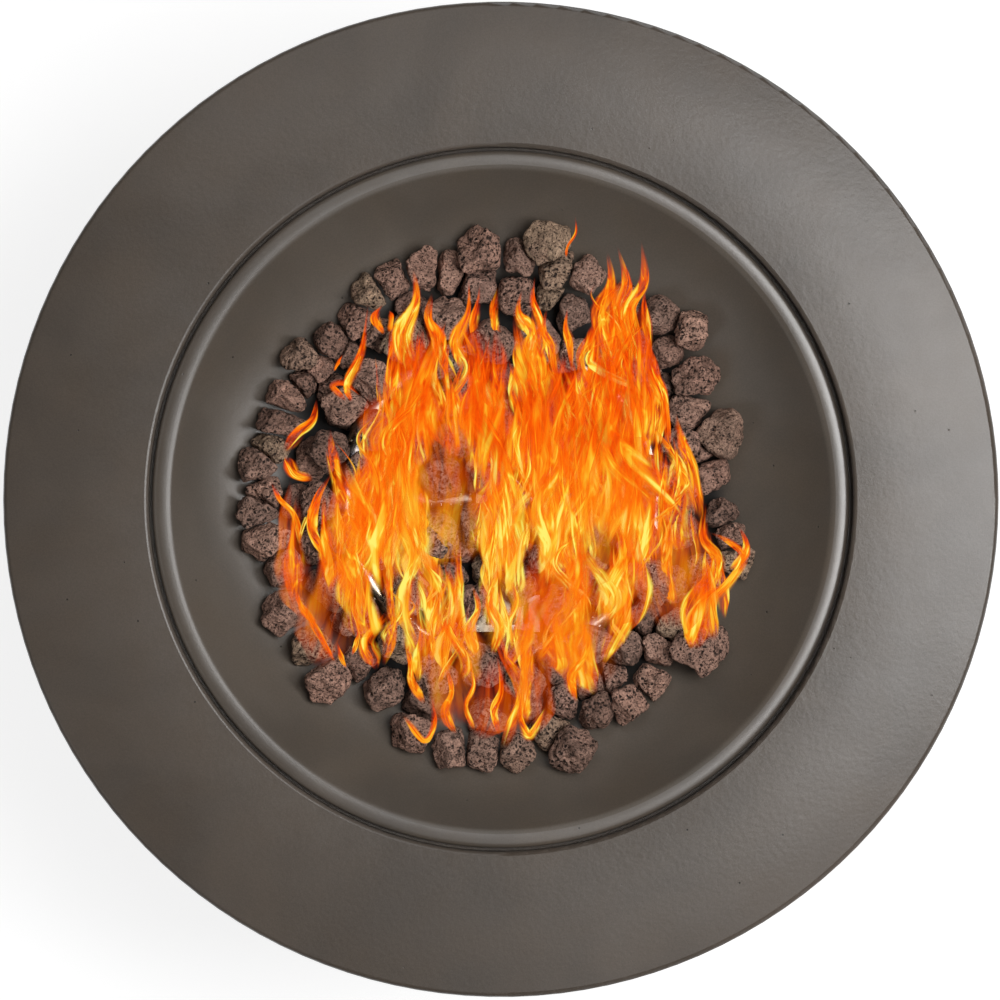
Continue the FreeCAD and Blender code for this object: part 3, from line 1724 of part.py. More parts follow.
# spheres strung along a tongue to keep others clear of it, and their share of its width
TONGUE_SPHERES = 12
TONGUE_CORE = 0.42
TONGUE_CLEARANCE = 0.05
# the stone that carries a tongue is nearer to its foot than this, and other stones are not
FOOT_ROOM = 17
# nothing farther than this from its foot can touch a tongue
TONGUE_REACH = 85
TRIES_PER_TONGUE = 80
# sizes of tongue tried in turn, as the least and most share of the full width
TONGUE_SCALES = [(0.95, 1.25), (0.7, 0.95), (0.45, 0.7)]


def lies_in(x, y, outline):
    """Whether a point lies within a closed outline."""
    crossings = 0
    for index, (end_x, end_y) in enumerate(outline):
        start_x, start_y = outline[index - 1]
        if (start_y > y) != (end_y > y):
            crossing = start_x + (end_x - start_x) * (y - start_y) / (end_y - start_y)
            crossings += x < crossing
    return crossings % 2 == 1


class Tongue:
    """A tongue of flame on top of a stone, which rises first and then leans towards +Y."""

    def __init__(self, root, scales, chance):
        self.root = root
        self.scale = chance.uniform(*scales)
        self.rise = s.flame_rise.value * chance.uniform(0.75, 1.2)
        self.lean = s.flame_lean.value * chance.uniform(0.6, 1.15)
        self.sway = chance.uniform(-TONGUE_SWAY, TONGUE_SWAY)
        self.bend = chance.uniform(-TONGUE_BEND, TONGUE_BEND)

    def centre(self, share):
        across = self.sway * share * share + self.bend * math.sin(math.pi * share)
        return self.root + Vector(
            across, self.lean * share**LEAN_POWER, TONGUE_GAP + self.rise * share
        )

    def spheres(self):
        """Spheres that cover the tongue, three abreast, as (centre, radius)."""
        found = []
        for step in range(1, TONGUE_SPHERES + 1):
            share = step / TONGUE_SPHERES
            size = min(1, 0.5 + 2 * share, 1.5 * (1.1 - share))
            half = s.flame_width.value / 2 * self.scale * size
            for side in (-1, 0, 1):
                centre = self.centre(share) + Vector(side * half * (1 - TONGUE_CORE), 0, 0)
                found.append((centre, half * TONGUE_CORE))
        return found

    def ring(self, share, size):
        ahead = (self.centre(share + 0.02) - self.centre(max(share - 0.02, 0))).normalize()
        across = ahead.cross(Vector(0, 0, 1))
        across = across.normalize() if across.Length > 0.05 else Vector(1, 0, 0)
        through = ahead.cross(across)
        if share == 0:
            across, through = Vector(1, 0, 0), Vector(0, 1, 0)
        half_width = s.flame_width.value / 2 * self.scale * size
        half_depth = s.flame_depth.value / 2 * self.scale * size
        corners = []
        for side in range(TONGUE_SIDES):
            angle = 2 * math.pi * side / TONGUE_SIDES
            offset = across * (half_width * math.cos(angle)) + through * (half_depth * math.sin(angle))
            corners.append(self.centre(share) + offset)
        return corners

    def solid(self):
        rings = [self.ring(share, size) for share, size in TONGUE_RINGS]
        faces = [list(reversed(rings[0]))]
        for lower, upper in zip(rings, rings[1:]):
            for side in range(TONGUE_SIDES):
                beside = (side + 1) % TONGUE_SIDES
                faces.append([lower[side], lower[beside], upper[beside]])
                faces.append([lower[side], upper[beside], upper[side]])
        tip = self.centre(1)
        for side in range(TONGUE_SIDES):
            faces.append([rings[-1][side], rings[-1][(side + 1) % TONGUE_SIDES], tip])
        return faceted_solid(faces)


def flames(stones):
    """Tongues of flame, each standing on a stone and clear of the others and of the stones."""
    chance = random.Random(8)
    tops = sorted(
        (max(stone.Vertexes, key=lambda vertex: vertex.Z).Point for stone in stones),
        key=lambda point: (-point.z, point.x),
    )
    blocked = [(stone.BoundBox.Center, stone.BoundBox.DiagonalLength * 0.29) for stone in stones]
    alight, solids = set(), []

    def is_clear(solid):
        box = solid.BoundBox
        near = [other for other in stones + solids if box.intersect(other.BoundBox)]
        return all(solid.distToShape(other)[0] > TONGUE_CLEARANCE for other in near)

    for scales in TONGUE_SCALES:
        for index, top in enumerate(tops):
            if index in alight or not lies_in(top.x, top.y, FLAME_OUTLINE):
                continue
            near = [
                other
                for other in blocked
                if FOOT_ROOM < other[0].distanceToPoint(top) < TONGUE_REACH
            ]
            for _ in range(TRIES_PER_TONGUE):
                tongue = Tongue(top, scales, chance)
                tip = tongue.centre(1)
                spheres = tongue.spheres()
                roomy = all(
                    (centre - other).Length > radius + size
                    for centre, radius in spheres
                    for other, size in near
                )
                if not (roomy and lies_in(tip.x, tip.y, FLAME_OUTLINE)):
                    continue
                solid = tongue.solid()
                if is_clear(solid):
                    alight.add(index)
                    solids.append(solid)
                    blocked.extend(spheres)
                    break
    node = doc.addObject("Part::Feature", "flames")
    node.Shape = Part.Compound(solids)
    node.Label = "flames"
    pieces.append(node)


# ---------------------------------------------------------------- build, check and export

def build():
    bowl_shell()
    rubber_feet()
    foot_washers()
    foot_screws()
    dish_gasket()
    fire_dish()
    burner_ring()
    burner_hub()
    hub_washer()
    hub_locknut()
    burner_legs()
    leg_screws()
    air_mixer()
    gas_jet()
    jet_elbow()
    pilot_bracket()
    pilot_screws()
    electrode_ceramic()
    electrode_rod()
    thermocouple()
    pilot_guard()
    control_panel()
    panel_screws()
    knob_bezel()
    control_knob()
    knob_insert()
    valve_stem()
    stem_collar()
    stem_bush()
    valve_spring()
    valve_body()
    igniter_body()
    igniter_nut()
    igniter_battery()
    igniter_cap()
    igniter_button()
    igniter_spring()
    inlet_bracket()
    bracket_screws()
    inlet_fitting()
    inlet_locknut()
    supply_tube()
    inlet_tube()
    electrode_lead()
    thermocouple_lead()
    flames(lava_stones())
    doc.recompute()


def check():
    for item in doc.Objects:
        if "Invalid" in item.State or "Error" in item.State:
            raise RuntimeError(f"{item.Label} did not recompute: {item.State}")
    for piece in pieces:
        if piece.Shape.isNull() or not piece.Shape.isValid() or not piece.Shape.Solids:
            raise RuntimeError(f"{piece.Label} has no valid shape")


def export():
    os.makedirs("parts", exist_ok=True)
    for piece in pieces:
        piece.Shape.exportStep(f"parts/{piece.Label}.step")
        print(piece.Label, len(piece.Shape.Solids), "solids", round(piece.Shape.Volume), "mm3")


build()
check()
export()
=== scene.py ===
import json
import math

import bmesh
import bpy
import numpy as np
from mathutils import Matrix, Vector

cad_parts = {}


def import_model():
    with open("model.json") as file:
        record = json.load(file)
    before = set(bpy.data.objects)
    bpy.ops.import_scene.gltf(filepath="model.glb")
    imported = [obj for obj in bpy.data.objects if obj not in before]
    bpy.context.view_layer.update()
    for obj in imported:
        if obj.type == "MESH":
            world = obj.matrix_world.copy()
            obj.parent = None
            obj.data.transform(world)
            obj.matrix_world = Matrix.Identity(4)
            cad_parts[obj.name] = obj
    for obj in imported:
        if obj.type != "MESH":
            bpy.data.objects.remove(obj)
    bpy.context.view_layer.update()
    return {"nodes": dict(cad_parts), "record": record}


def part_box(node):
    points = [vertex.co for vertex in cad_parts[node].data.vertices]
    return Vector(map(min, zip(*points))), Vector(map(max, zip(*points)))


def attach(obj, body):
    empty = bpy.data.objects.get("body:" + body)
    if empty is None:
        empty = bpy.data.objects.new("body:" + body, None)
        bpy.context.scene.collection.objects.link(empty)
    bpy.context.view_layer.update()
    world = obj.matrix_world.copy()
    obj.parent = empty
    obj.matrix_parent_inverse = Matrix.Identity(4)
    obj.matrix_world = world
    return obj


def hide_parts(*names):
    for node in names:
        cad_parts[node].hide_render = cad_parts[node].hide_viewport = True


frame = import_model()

# Gas fire bowl seen from straight above: a wide painted rim, a dish dropped into it, a heap of
# porous lava stones over a polished ring burner, and flames among the stones. Metres, +Z up.

MM = 0.001
record = frame["record"]
nodes = frame["nodes"]

RIM_LEVEL = 0.29
CAMERA_DISTANCE = 4.0
# The picture is 1000 pixels wide, and the rim's outer edge is a circle in it.
PICTURE_WIDTH = 1000
RIM_CENTRE_PIXEL = (500.9, 499.3)
RIM_RADIUS_PIXELS = 497.7
RIM_RADIUS = (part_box("bowl_shell")[1].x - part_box("bowl_shell")[0].x) / 2
METRES_PER_PIXEL = RIM_RADIUS / RIM_RADIUS_PIXELS


# ---------------------------------------------------------------- objects and meshes

def link(thing):
    bpy.context.scene.collection.objects.link(thing)
    return thing


def mesh_object(name, points, faces, smooth=True):
    mesh = bpy.data.meshes.new(name)
    mesh.from_pydata([tuple(point) for point in points], [], [tuple(face) for face in faces])
    mesh.polygons.foreach_set("use_smooth", [smooth] * len(mesh.polygons))
    mesh.update()
    return link(bpy.data.objects.new(name, mesh))


def dress(thing, material):
    thing.data.materials.clear()
    thing.data.materials.append(material)
    return thing


def slot_of(node):
    return next(part["material_slot"] for part in record["subparts"] if part["node"] == node)


def stand_for(piece, node, body="bowl"):
    """The piece takes the node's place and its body."""
    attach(piece, body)
    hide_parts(node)


# ---------------------------------------------------------------- materials

class Recipe:
    """A material being made: short calls that add nodes and return their output sockets."""

    def __init__(self, name, colour=(0.5, 0.5, 0.5), roughness=0.5, metallic=0.0, specular=0.5):
        self.material = bpy.data.materials.new(name)
        self.material.use_nodes = True
        self.tree = self.material.node_tree
        self.shader = self.tree.nodes["Principled BSDF"]
        self.shader.inputs["Base Color"].default_value = (*colour, 1)
        self.shader.inputs["Roughness"].default_value = roughness
        self.shader.inputs["Metallic"].default_value = metallic
        self.shader.inputs["Specular IOR Level"].default_value = specular

    def node(self, kind, inputs=None, **settings):
        node = self.tree.nodes.new(f"ShaderNode{kind}")
        for name, value in settings.items():
            setattr(node, name, value)
        for name, value in (inputs or {}).items():
            self.give(node.inputs[name], value)
        return node

    def give(self, socket, value):
        if isinstance(value, bpy.types.NodeSocket):
            self.tree.links.new(value, socket)
        elif isinstance(value, tuple) and len(value) == 3 and socket.type == "RGBA":
            socket.default_value = (*value, 1)
        else:
            socket.default_value = value

    def place(self, stretch=(1, 1, 1)):
        """The surface's own coordinates in metres, stretched along its axes."""
        here = self.node("TexCoord").outputs["Object"]
        return self.node("Mapping", {"Vector": here, "Scale": stretch}).outputs["Vector"]

    def noise(self, size, detail=3.0, rough=0.5, twist=0.0, place=None):
        """Clouds whose largest are about the given size in metres."""
        inputs = {
            "Vector": place or self.place(),
            "Scale": 1 / size,
            "Detail": detail,
            "Roughness": rough,
            "Distortion": twist,
        }
        return self.node("TexNoise", inputs).outputs["Fac"]

    def cells(self, size, place=None):
        """Distance from a scatter of points that lie about the given size apart."""
        inputs = {"Vector": place or self.place(), "Scale": 1 / size}
        return self.node("TexVoronoi", inputs).outputs["Distance"]

    def span(self, value, low, high, to_low=0.0, to_high=1.0):
        inputs = {
            "Value": value,
            "From Min": low,
            "From Max": high,
            "To Min": to_low,
            "To Max": to_high,
        }
        node = self.node("MapRange", inputs, clamp=True, interpolation_type="SMOOTHSTEP")
        return node.outputs["Result"]

    def maths(self, operation, first, second=0.0, third=0.0):
        node = self.node("Math", operation=operation)
        for socket, value in zip(node.inputs, (first, second, third)):
            self.give(socket, value)
        return node.outputs[0]

    def mix(self, share, first, second, blend="MIX"):
        inputs = {"Fac": share, "Color1": first, "Color2": second}
        return self.node("MixRGB", inputs, blend_type=blend).outputs["Color"]

    def ramp(self, value, stops):
        node = self.node("ValToRGB", {"Fac": value})
        elements = node.color_ramp.elements
        elements.remove(elements[1])
        elements[0].position = stops[0][0]
        elements[0].color = (*stops[0][1], 1)
        for position, colour in stops[1:]:
            elements.new(position).color = (*colour, 1)
        return node.outputs["Color"]

    def bump(self, height, distance, strength=1.0, over=None):
        inputs = {"Height": height, "Distance": distance, "Strength": strength}
        if over is not None:
            inputs["Normal"] = over
        return self.node("Bump", inputs).outputs["Normal"]

    def finish(self, **sockets):
        """Links or sets the shader's sockets, named with underscores, and returns the material."""
        for name, value in sockets.items():
            self.give(self.shader.inputs[name.replace("_", " ")], value)
        return self.material


def scaled(colour, factor):
    return tuple(channel * factor for channel in colour)


# Near-black painted shade for the dish's floor in the gaps between the stones.
PAINTED_GAP_SHADE = (0.012, 0.01, 0.009)


def satin_paint(
    name, colour, roughness, peel_size, peel_depth, pinholes, specular=0.5, darkened=None
):
    """Brushed-on satin paint: soft clouds, a fine grain, orange peel and a few pinholes.

    Within the last argument's radius, in metres, the colour is painted near-black and the paint
    made dull: painted shade for the deep gaps between the stones.
    """
    r = Recipe(name, colour, roughness, specular=specular)
    clouds = r.noise(0.13, 3.0, 0.55, 0.4)
    cool = r.mix(r.span(clouds, 0.32, 0.68), scaled(colour, 0.86), scaled(colour, 1.13))
    warm = tuple(channel * tint for channel, tint in zip(colour, (1.1, 1.0, 0.88)))
    patches = r.mix(r.span(r.noise(0.05, 3.0), 0.3, 0.8, 0.0, 0.4), cool, warm)
    grain = r.span(r.noise(0.0011, 2.0), 0.3, 0.7, 0.93, 1.07)
    grained = r.mix(1.0, patches, grain, "MULTIPLY")
    peel = r.noise(peel_size, 3.0, 0.6)
    normal = r.bump(peel, peel_depth)
    if pinholes:
        hole = r.span(r.cells(0.016), 0.035, 0.055, 1.0, 0.0)
        sparse = r.span(r.noise(0.03, 1.0), 0.5, 0.56)
        hole = r.maths("MULTIPLY", hole, sparse)
        # Painted shade: the pinholes are painted darker, and the bump below also sinks them.
        grained = r.mix(hole, grained, scaled(colour, 0.35))
        normal = r.bump(r.maths("SUBTRACT", 1.0, hole), 0.0004, 0.8, normal)
    gloss = r.span(r.noise(0.02, 3.0), 0.3, 0.7, roughness - 0.012, roughness + 0.015)
    # Painted shade: within the radius the colour is painted near-black, for the gaps between the
    # stones.
    if darkened:
        out = r.node("VectorMath", {0: r.place(stretch=(1, 1, 0))}, operation="LENGTH")
        ragged = r.maths("MULTIPLY_ADD", r.noise(0.02, 3.0), 0.024, out.outputs["Value"])
        darkening = r.span(ragged, darkened - 0.006, darkened + 0.014, 1.0, 0.0)
        grained = r.mix(darkening, grained, PAINTED_GAP_SHADE)
        gloss = r.maths("MULTIPLY_ADD", darkening, 0.4, gloss)
    return r.finish(Base_Color=grained, Roughness=gloss, Normal=normal)


def brushed_metal(name, colour, roughness, along=(1, 1, 1), tarnish=0.12):
    """Bare metal with fine strokes along one direction and a little tarnish."""
    r = Recipe(name, colour, roughness, metallic=1.0)
    strokes = r.noise(0.0006, 3.0, place=r.place(stretch=along))
    stains = r.span(r.noise(0.012, 4.0), 0.4, 0.75, 0.0, tarnish)
    shade = r.mix(r.span(strokes, 0.3, 0.7), scaled(colour, 0.88), scaled(colour, 1.06))
    stained = r.mix(stains, shade, scaled(colour, 0.45))
    rough = r.span(strokes, 0.3, 0.7, roughness - 0.06, roughness + 0.08)
    return r.finish(Base_Color=stained, Roughness=rough, Normal=r.bump(strokes, 0.00003))


def heated_steel(name):
    """Polished stainless tube, tinted straw and blue by heat in soft patches."""
    bare = (0.52, 0.49, 0.46)
    r = Recipe(name, bare, 0.13, metallic=1.0)
    heat = r.noise(0.035, 3.0, 0.6, 0.4)
    tinted = r.ramp(heat, [(0.35, bare), (0.5, (0.62, 0.5, 0.36)), (0.66, (0.42, 0.4, 0.46))])
    darkening = r.span(r.noise(0.006, 4.0), 0.55, 0.75, 0.0, 0.5)
    darkened = r.mix(darkening, tinted, (0.1, 0.09, 0.085))
    rough = r.span(r.noise(0.008, 4.0), 0.3, 0.75, 0.22, 0.42)
    return r.finish(Base_Color=darkened, Roughness=rough, Normal=r.bump(r.noise(0.004, 2.0), 0.00003))


def moulded(name, colour, roughness, grain=0.0007, depth=0.00006):
    """Moulded plastic or rubber with a spark-eroded grain and faint wear."""
    r = Recipe(name, colour, roughness)
    texture = r.noise(grain, 2.0, 0.6)
    worn = r.span(r.noise(0.01, 5.0, 0.65), 0.55, 0.8, 0.0, 0.35)
    shade = r.mix(worn, colour, tuple(channel + 0.03 for channel in colour))
    rough = r.span(texture, 0.3, 0.7, roughness - 0.05, roughness + 0.07)
    return r.finish(Base_Color=shade, Roughness=rough, Normal=r.bump(texture, depth))


def woven_tape(name, colour):
    r = Recipe(name, colour, 0.85)
    across = r.node("TexWave", {"Vector": r.place(), "Scale": 300.0}, bands_direction="X")
    along = r.node("TexWave", {"Vector": r.place(), "Scale": 300.0}, bands_direction="Y")
    weave = r.maths("MULTIPLY", across.outputs["Fac"], along.outputs["Fac"])
    shade = r.mix(weave, scaled(colour, 0.6), colour)
    return r.finish(Base_Color=shade, Normal=r.bump(weave, 0.0003))


def fired_ceramic(name, colour):
    r = Recipe(name, colour, 0.55)
    specks = r.span(r.noise(0.0015, 3.0), 0.6, 0.7, 0.0, 0.25)
    darkening = r.span(r.noise(0.006, 3.0), 0.5, 0.8, 0.0, 0.3)
    shade = r.mix(darkening, r.mix(specks, colour, scaled(colour, 0.6)), (0.2, 0.17, 0.15))
    return r.finish(Base_Color=shade, Normal=r.bump(r.noise(0.0008, 2.0), 0.00005))


STONE_TINTS = [
    (0.00, (0.190, 0.114, 0.087)),
    (0.16, (0.320, 0.184, 0.138)),
    (0.32, (0.410, 0.235, 0.176)),
    (0.48, (0.270, 0.166, 0.128)),
    (0.62, (0.470, 0.275, 0.205)),
    (0.78, (0.330, 0.192, 0.150)),
    (0.92, (0.370, 0.250, 0.170)),
]
RUST_COLOUR = (0.42, 0.25, 0.185)
# Near-black painted shade inside the pores.
PAINTED_PORE_SHADE = (0.034, 0.022, 0.018)
WIDE_PORES = 0.0036
FINE_PORES = 0.0015


def lava_rock(name):
    """Matt porous rock; every stone has its own tint, and painted shade darkens its pores."""
    r = Recipe(name, (0.16, 0.11, 0.09), 0.88, specular=0.25)
    own = r.node("SeparateXYZ", {"Vector": r.node("UVMap", uv_map="stone").outputs["UV"]})
    tint = r.ramp(own.outputs["X"], STONE_TINTS)
    patches = r.span(r.noise(0.009, 4.0, 0.6, 0.5), 0.3, 0.7, 0.7, 1.35)
    shade = r.mix(1.0, tint, patches, "MULTIPLY")
    rust = r.span(r.noise(0.014, 3.0), 0.52, 0.7, 0.0, 0.4)
    shade = r.mix(rust, shade, RUST_COLOUR)
    grain = r.noise(0.0016, 4.0, 0.75)
    shade = r.mix(1.0, shade, r.span(grain, 0.28, 0.72, 0.55, 1.45), "MULTIPLY")
    warped = r.noise(0.004, 2.0)
    offset = r.maths("MULTIPLY", warped, 0.0022)
    moved = r.node("VectorMath", {0: r.place(), 1: offset}, operation="ADD").outputs["Vector"]
    uneven = r.span(r.noise(0.0026, 2.0), 0.35, 0.65, 0.7, 1.5)
    wide_cells = r.maths("MULTIPLY", r.cells(WIDE_PORES, place=moved), uneven)
    wide = r.span(wide_cells, 0.2, 0.44, 1.0, 0.0)
    fine_cells = r.maths("MULTIPLY", r.cells(FINE_PORES, place=moved), uneven)
    fine = r.span(fine_cells, 0.18, 0.44, 1.0, 0.0)
    # Some stones are full of holes and others almost closed.
    porous = r.maths("MULTIPLY", own.outputs["Y"], 0.3)
    dense = r.span(r.maths("ADD", r.noise(0.011, 3.0), porous), 0.5, 0.66)
    pores = r.maths("MAXIMUM", r.maths("MULTIPLY", wide, dense), r.maths("MULTIPLY", fine, 0.8))
    # Painted shade: the pores are painted near-black, and the bump below also sinks them.
    shade = r.mix(pores, shade, PAINTED_PORE_SHADE)
    height = r.maths("SUBTRACT", r.maths("MULTIPLY", grain, 0.7), pores)
    return r.finish(Base_Color=shade, Normal=r.bump(height, 0.001, 1.0))


# Colours of burning gas from its faint red fringe to its pale yellow core.
FLAME_RAMP = [
    (0.00, (0.28, 0.008, 0.0005)),
    (0.20, (0.70, 0.030, 0.001)),
    (0.40, (1.00, 0.095, 0.002)),
    (0.58, (1.00, 0.190, 0.004)),
    (0.74, (1.00, 0.370, 0.012)),
    (0.88, (1.00, 0.620, 0.045)),
    (1.00, (1.00, 0.880, 0.160)),
]


def burning_gas(name, streak_width, streak_length, contrast=1.0):
    """Glowing gas: opaque where it is thick, clear at its root, tip and one edge, and streaked."""
    r = Recipe(name)
    place = r.node("SeparateXYZ", {"Vector": r.node("UVMap", uv_map="place").outputs["UV"]})
    across, along = place.outputs["X"], place.outputs["Y"]
    mood = r.node("SeparateXYZ", {"Vector": r.node("UVMap", uv_map="mood").outputs["UV"]})
    warmth, density = mood.outputs["X"], mood.outputs["Y"]
    span = r.node("UVMap", uv_map="span").outputs["UV"]

    def stretched(width, length):
        return r.node("Mapping", {"Vector": span, "Scale": (1 / width, 1 / length, 1)}).outputs[0]

    streaks = r.noise(1.0, 3.0, 0.55, 1.2, stretched(streak_width, streak_length))
    folds = r.noise(1.0, 1.0, 0.5, 1.5, stretched(streak_width * 2.2, streak_length * 1.4))
    off_fold = r.maths("ABSOLUTE", r.maths("SUBTRACT", folds, 0.5))
    fold = r.span(off_fold, 0.0, 0.05, 1.0, 0.0)
    body = r.span(across, 0.0, 0.5)
    cut = r.span(across, 0.84, 1.0, 1.0, 0.0)
    rim = r.maths("MULTIPLY", r.span(across, 0.5, 0.84), cut)
    root = r.span(along, 0.0, 0.2)
    tip = r.span(along, 0.6, 1.0, 1.0, 0.0)
    swing = r.maths("MULTIPLY", r.span(streaks, 0.34, 0.68), 0.55 * contrast)
    heat = r.maths("ADD", swing, r.maths("SUBTRACT", warmth, 0.5 * contrast - 0.5))
    heat = r.maths("MULTIPLY_ADD", rim, 0.18 * contrast, heat)
    heat = r.maths("MULTIPLY_ADD", fold, 0.14 * contrast, heat)
    heat = r.maths("MULTIPLY_ADD", r.span(along, 0.4, 1.0), -0.4, heat)
    heat = r.maths("MULTIPLY_ADD", r.span(along, 0.0, 0.25, 1.0, 0.0), -0.2, heat)
    cover = r.maths("MULTIPLY", r.maths("MULTIPLY", body, cut), r.maths("MULTIPLY", root, tip))
    thick = r.maths("MULTIPLY_ADD", r.span(streaks, 0.34, 0.6), 0.8, 0.2)
    thick = r.maths("MULTIPLY_ADD", r.maths("MAXIMUM", rim, fold), 0.4, thick)
    alpha = r.maths("MULTIPLY", r.maths("MULTIPLY", cover, thick), density)
    alpha = r.maths("MINIMUM", alpha, 1.0)
    r.tree.nodes.remove(r.shader)
    glow = r.node("Emission", {"Color": r.ramp(heat, FLAME_RAMP), "Strength": 1.0})
    clear = r.node("BsdfTransparent")
    mixed = r.node("MixShader", {"Fac": alpha})
    r.tree.links.new(clear.outputs[0], mixed.inputs[1])
    r.tree.links.new(glow.outputs[0], mixed.inputs[2])
    r.tree.links.new(mixed.outputs[0], r.tree.nodes["Material Output"].inputs["Surface"])
    return r.material


# The dish's colour, roughness, size and depth of its orange peel, and whether it has pinholes.
DISH_PAINT = ((0.118, 0.098, 0.08), 0.3, 0.003, 0.00005, True)
# Within this radius, in metres, the dish is painted near-black: painted shade in the gaps between
# the stones.
PAINTED_SHADE_RADIUS = 0.168
FINISHES = {
    "cast_bowl": satin_paint("bowl_paint", (0.112, 0.092, 0.076), 0.29, 0.0042, 0.00012, True),
    "dish_paint": satin_paint("dish_paint", *DISH_PAINT, darkened=PAINTED_SHADE_RADIUS),
    "glass_tape": woven_tape("glass_tape", (0.62, 0.6, 0.54)),
    "rubber": moulded("rubber", (0.022, 0.022, 0.023), 0.75, 0.0012, 0.0001),
    "zinc_steel": brushed_metal("zinc_steel", (0.62, 0.61, 0.6), 0.3),
    "stainless": heated_steel("stainless"),
    "brass": brushed_metal("brass", (0.78, 0.58, 0.27), 0.28),
    "ceramic_white": fired_ceramic("ceramic_white", (0.8, 0.77, 0.7)),
    "copper": brushed_metal("copper", (0.78, 0.42, 0.26), 0.3),
    "panel_steel": brushed_metal("panel_steel", (0.58, 0.57, 0.56), 0.3, (0.05, 1, 1), 0.05),
    "bezel_black": satin_paint("bezel_black", (0.02, 0.02, 0.021), 0.4, 0.002, 0.00003, False),
    "knob_black": moulded("knob_black", (0.018, 0.018, 0.02), 0.42),
    "spring_steel": brushed_metal("spring_steel", (0.5, 0.5, 0.5), 0.25),
    "black_plastic": moulded("black_plastic", (0.02, 0.02, 0.021), 0.5),
    "cell_jacket": moulded("cell_jacket", (0.05, 0.07, 0.09), 0.3, 0.002, 0.00001),
    "button_black": moulded("button_black", (0.03, 0.012, 0.01), 0.24, 0.001, 0.00001),
    "tube_alloy": brushed_metal("tube_alloy", (0.7, 0.7, 0.69), 0.32),
    "lead_silicone": moulded("lead_silicone", (0.3, 0.035, 0.025), 0.55),
    "lava_stone": lava_rock("lava_stone"),
    "flame": burning_gas("flame", 0.006, 0.035),
}


def dress_nodes():
    for name, thing in nodes.items():
        dress(thing, FINISHES[slot_of(name)])


# ---------------------------------------------------------------- lava stones

NOISE_SIDE = 32
noise_table = np.random.default_rng(3).random((NOISE_SIDE,) * 3)


def clouds_at(points, size):
    """Smooth noise from -1 to 1 at each point, with features of about the given size."""
    where = points / size
    base = np.floor(where).astype(int)
    part = where - base
    part = part * part * (3 - 2 * part)
    total = np.zeros(len(points))
    for corner in np.ndindex(2, 2, 2):
        index = (base + corner) % NOISE_SIDE
        share = np.prod(np.where(corner, part, 1 - part), axis=1)
        total += share * noise_table[index[:, 0], index[:, 1], index[:, 2]]
    return 2 * total - 1


def geodesic(frequency):
    """Directions and triangles of an icosahedron whose faces are split frequency times."""
    bm = bmesh.new()
    bmesh.ops.create_icosphere(bm, subdivisions=1, radius=1)
    corners = [np.array(vertex.co) for vertex in bm.verts]
    faces = [[vertex.index for vertex in face.verts] for face in bm.faces]
    bm.free()
    found, points, triangles = {}, [], []

    def index_of(point):
        point = point / np.linalg.norm(point)
        key = tuple(np.round(point, 5))
        if key not in found:
            found[key] = len(points)
            points.append(point)
        return found[key]

    for face in faces:
        a, b, c = (corners[index] for index in face)
        rows = []
        for i in range(frequency + 1):
            row = [
                index_of(a + (b - a) * (i - j) / frequency + (c - a) * j / frequency)
                for j in range(i + 1)
            ]
            rows.append(row)
        for upper, lower in zip(rows, rows[1:]):
            for j in range(len(upper)):
                triangles.append((upper[j], lower[j], lower[j + 1]))
            for j in range(len(upper) - 1):
                triangles.append((upper[j], lower[j + 1], upper[j + 1]))
    return np.array(points), np.array(triangles)


WELD_DISTANCE = 0.01 * MM
SMALLEST_FACE = (0.5 * MM) ** 2


def chips_of(node):
    """The convex chips in a stone node, each as its centre and its faces' normals and distances."""
    bm = bmesh.new()
    bm.from_mesh(nodes[node].data)
    bmesh.ops.remove_doubles(bm, verts=bm.verts, dist=WELD_DISTANCE)
    waiting = set(bm.verts)
    chips = []
    while waiting:
        reached, edge = set(), [next(iter(waiting))]
        while edge:
            vertex = edge.pop()
            if vertex in reached:
                continue
            reached.add(vertex)
            edge.extend(other for link_edge in vertex.link_edges for other in link_edge.verts)
        waiting -= reached
        points = np.array([vertex.co for vertex in reached])
        centre = (points.min(axis=0) + points.max(axis=0)) / 2
        faces = {face for vertex in reached for face in vertex.link_faces}
        planes = []
        for face in faces:
            if face.calc_area() < SMALLEST_FACE:
                continue
            face.normal_update()
            normal = np.array(face.normal)
            distance = normal @ (np.array(face.verts[0].co) - centre)
            planes.append((*(normal * math.copysign(1, distance)), abs(distance)))
        chips.append((centre, np.array(planes)))
    bm.free()
    chips.sort(key=lambda chip: tuple(np.round(chip[0], 5)))
    return chips


CORNER_SHARPNESS = 11
STONE_SPLIT = 20
# Height and size in mm of the lumps on a stone, and how far all of it swells.
STONE_LUMPS = [(2.2, 10), (1.1, 4.2), (0.4, 1.7)]
STONE_SWELL = 0.5
PITS_PER_STONE = 80
PIT_WIDTHS = (0.7, 2.1)
PIT_WIDTH_POWER = 1.3
PIT_DEPTH_PER_WIDTH = 0.75
# About a full turn, in radians.
TURN = 6.28


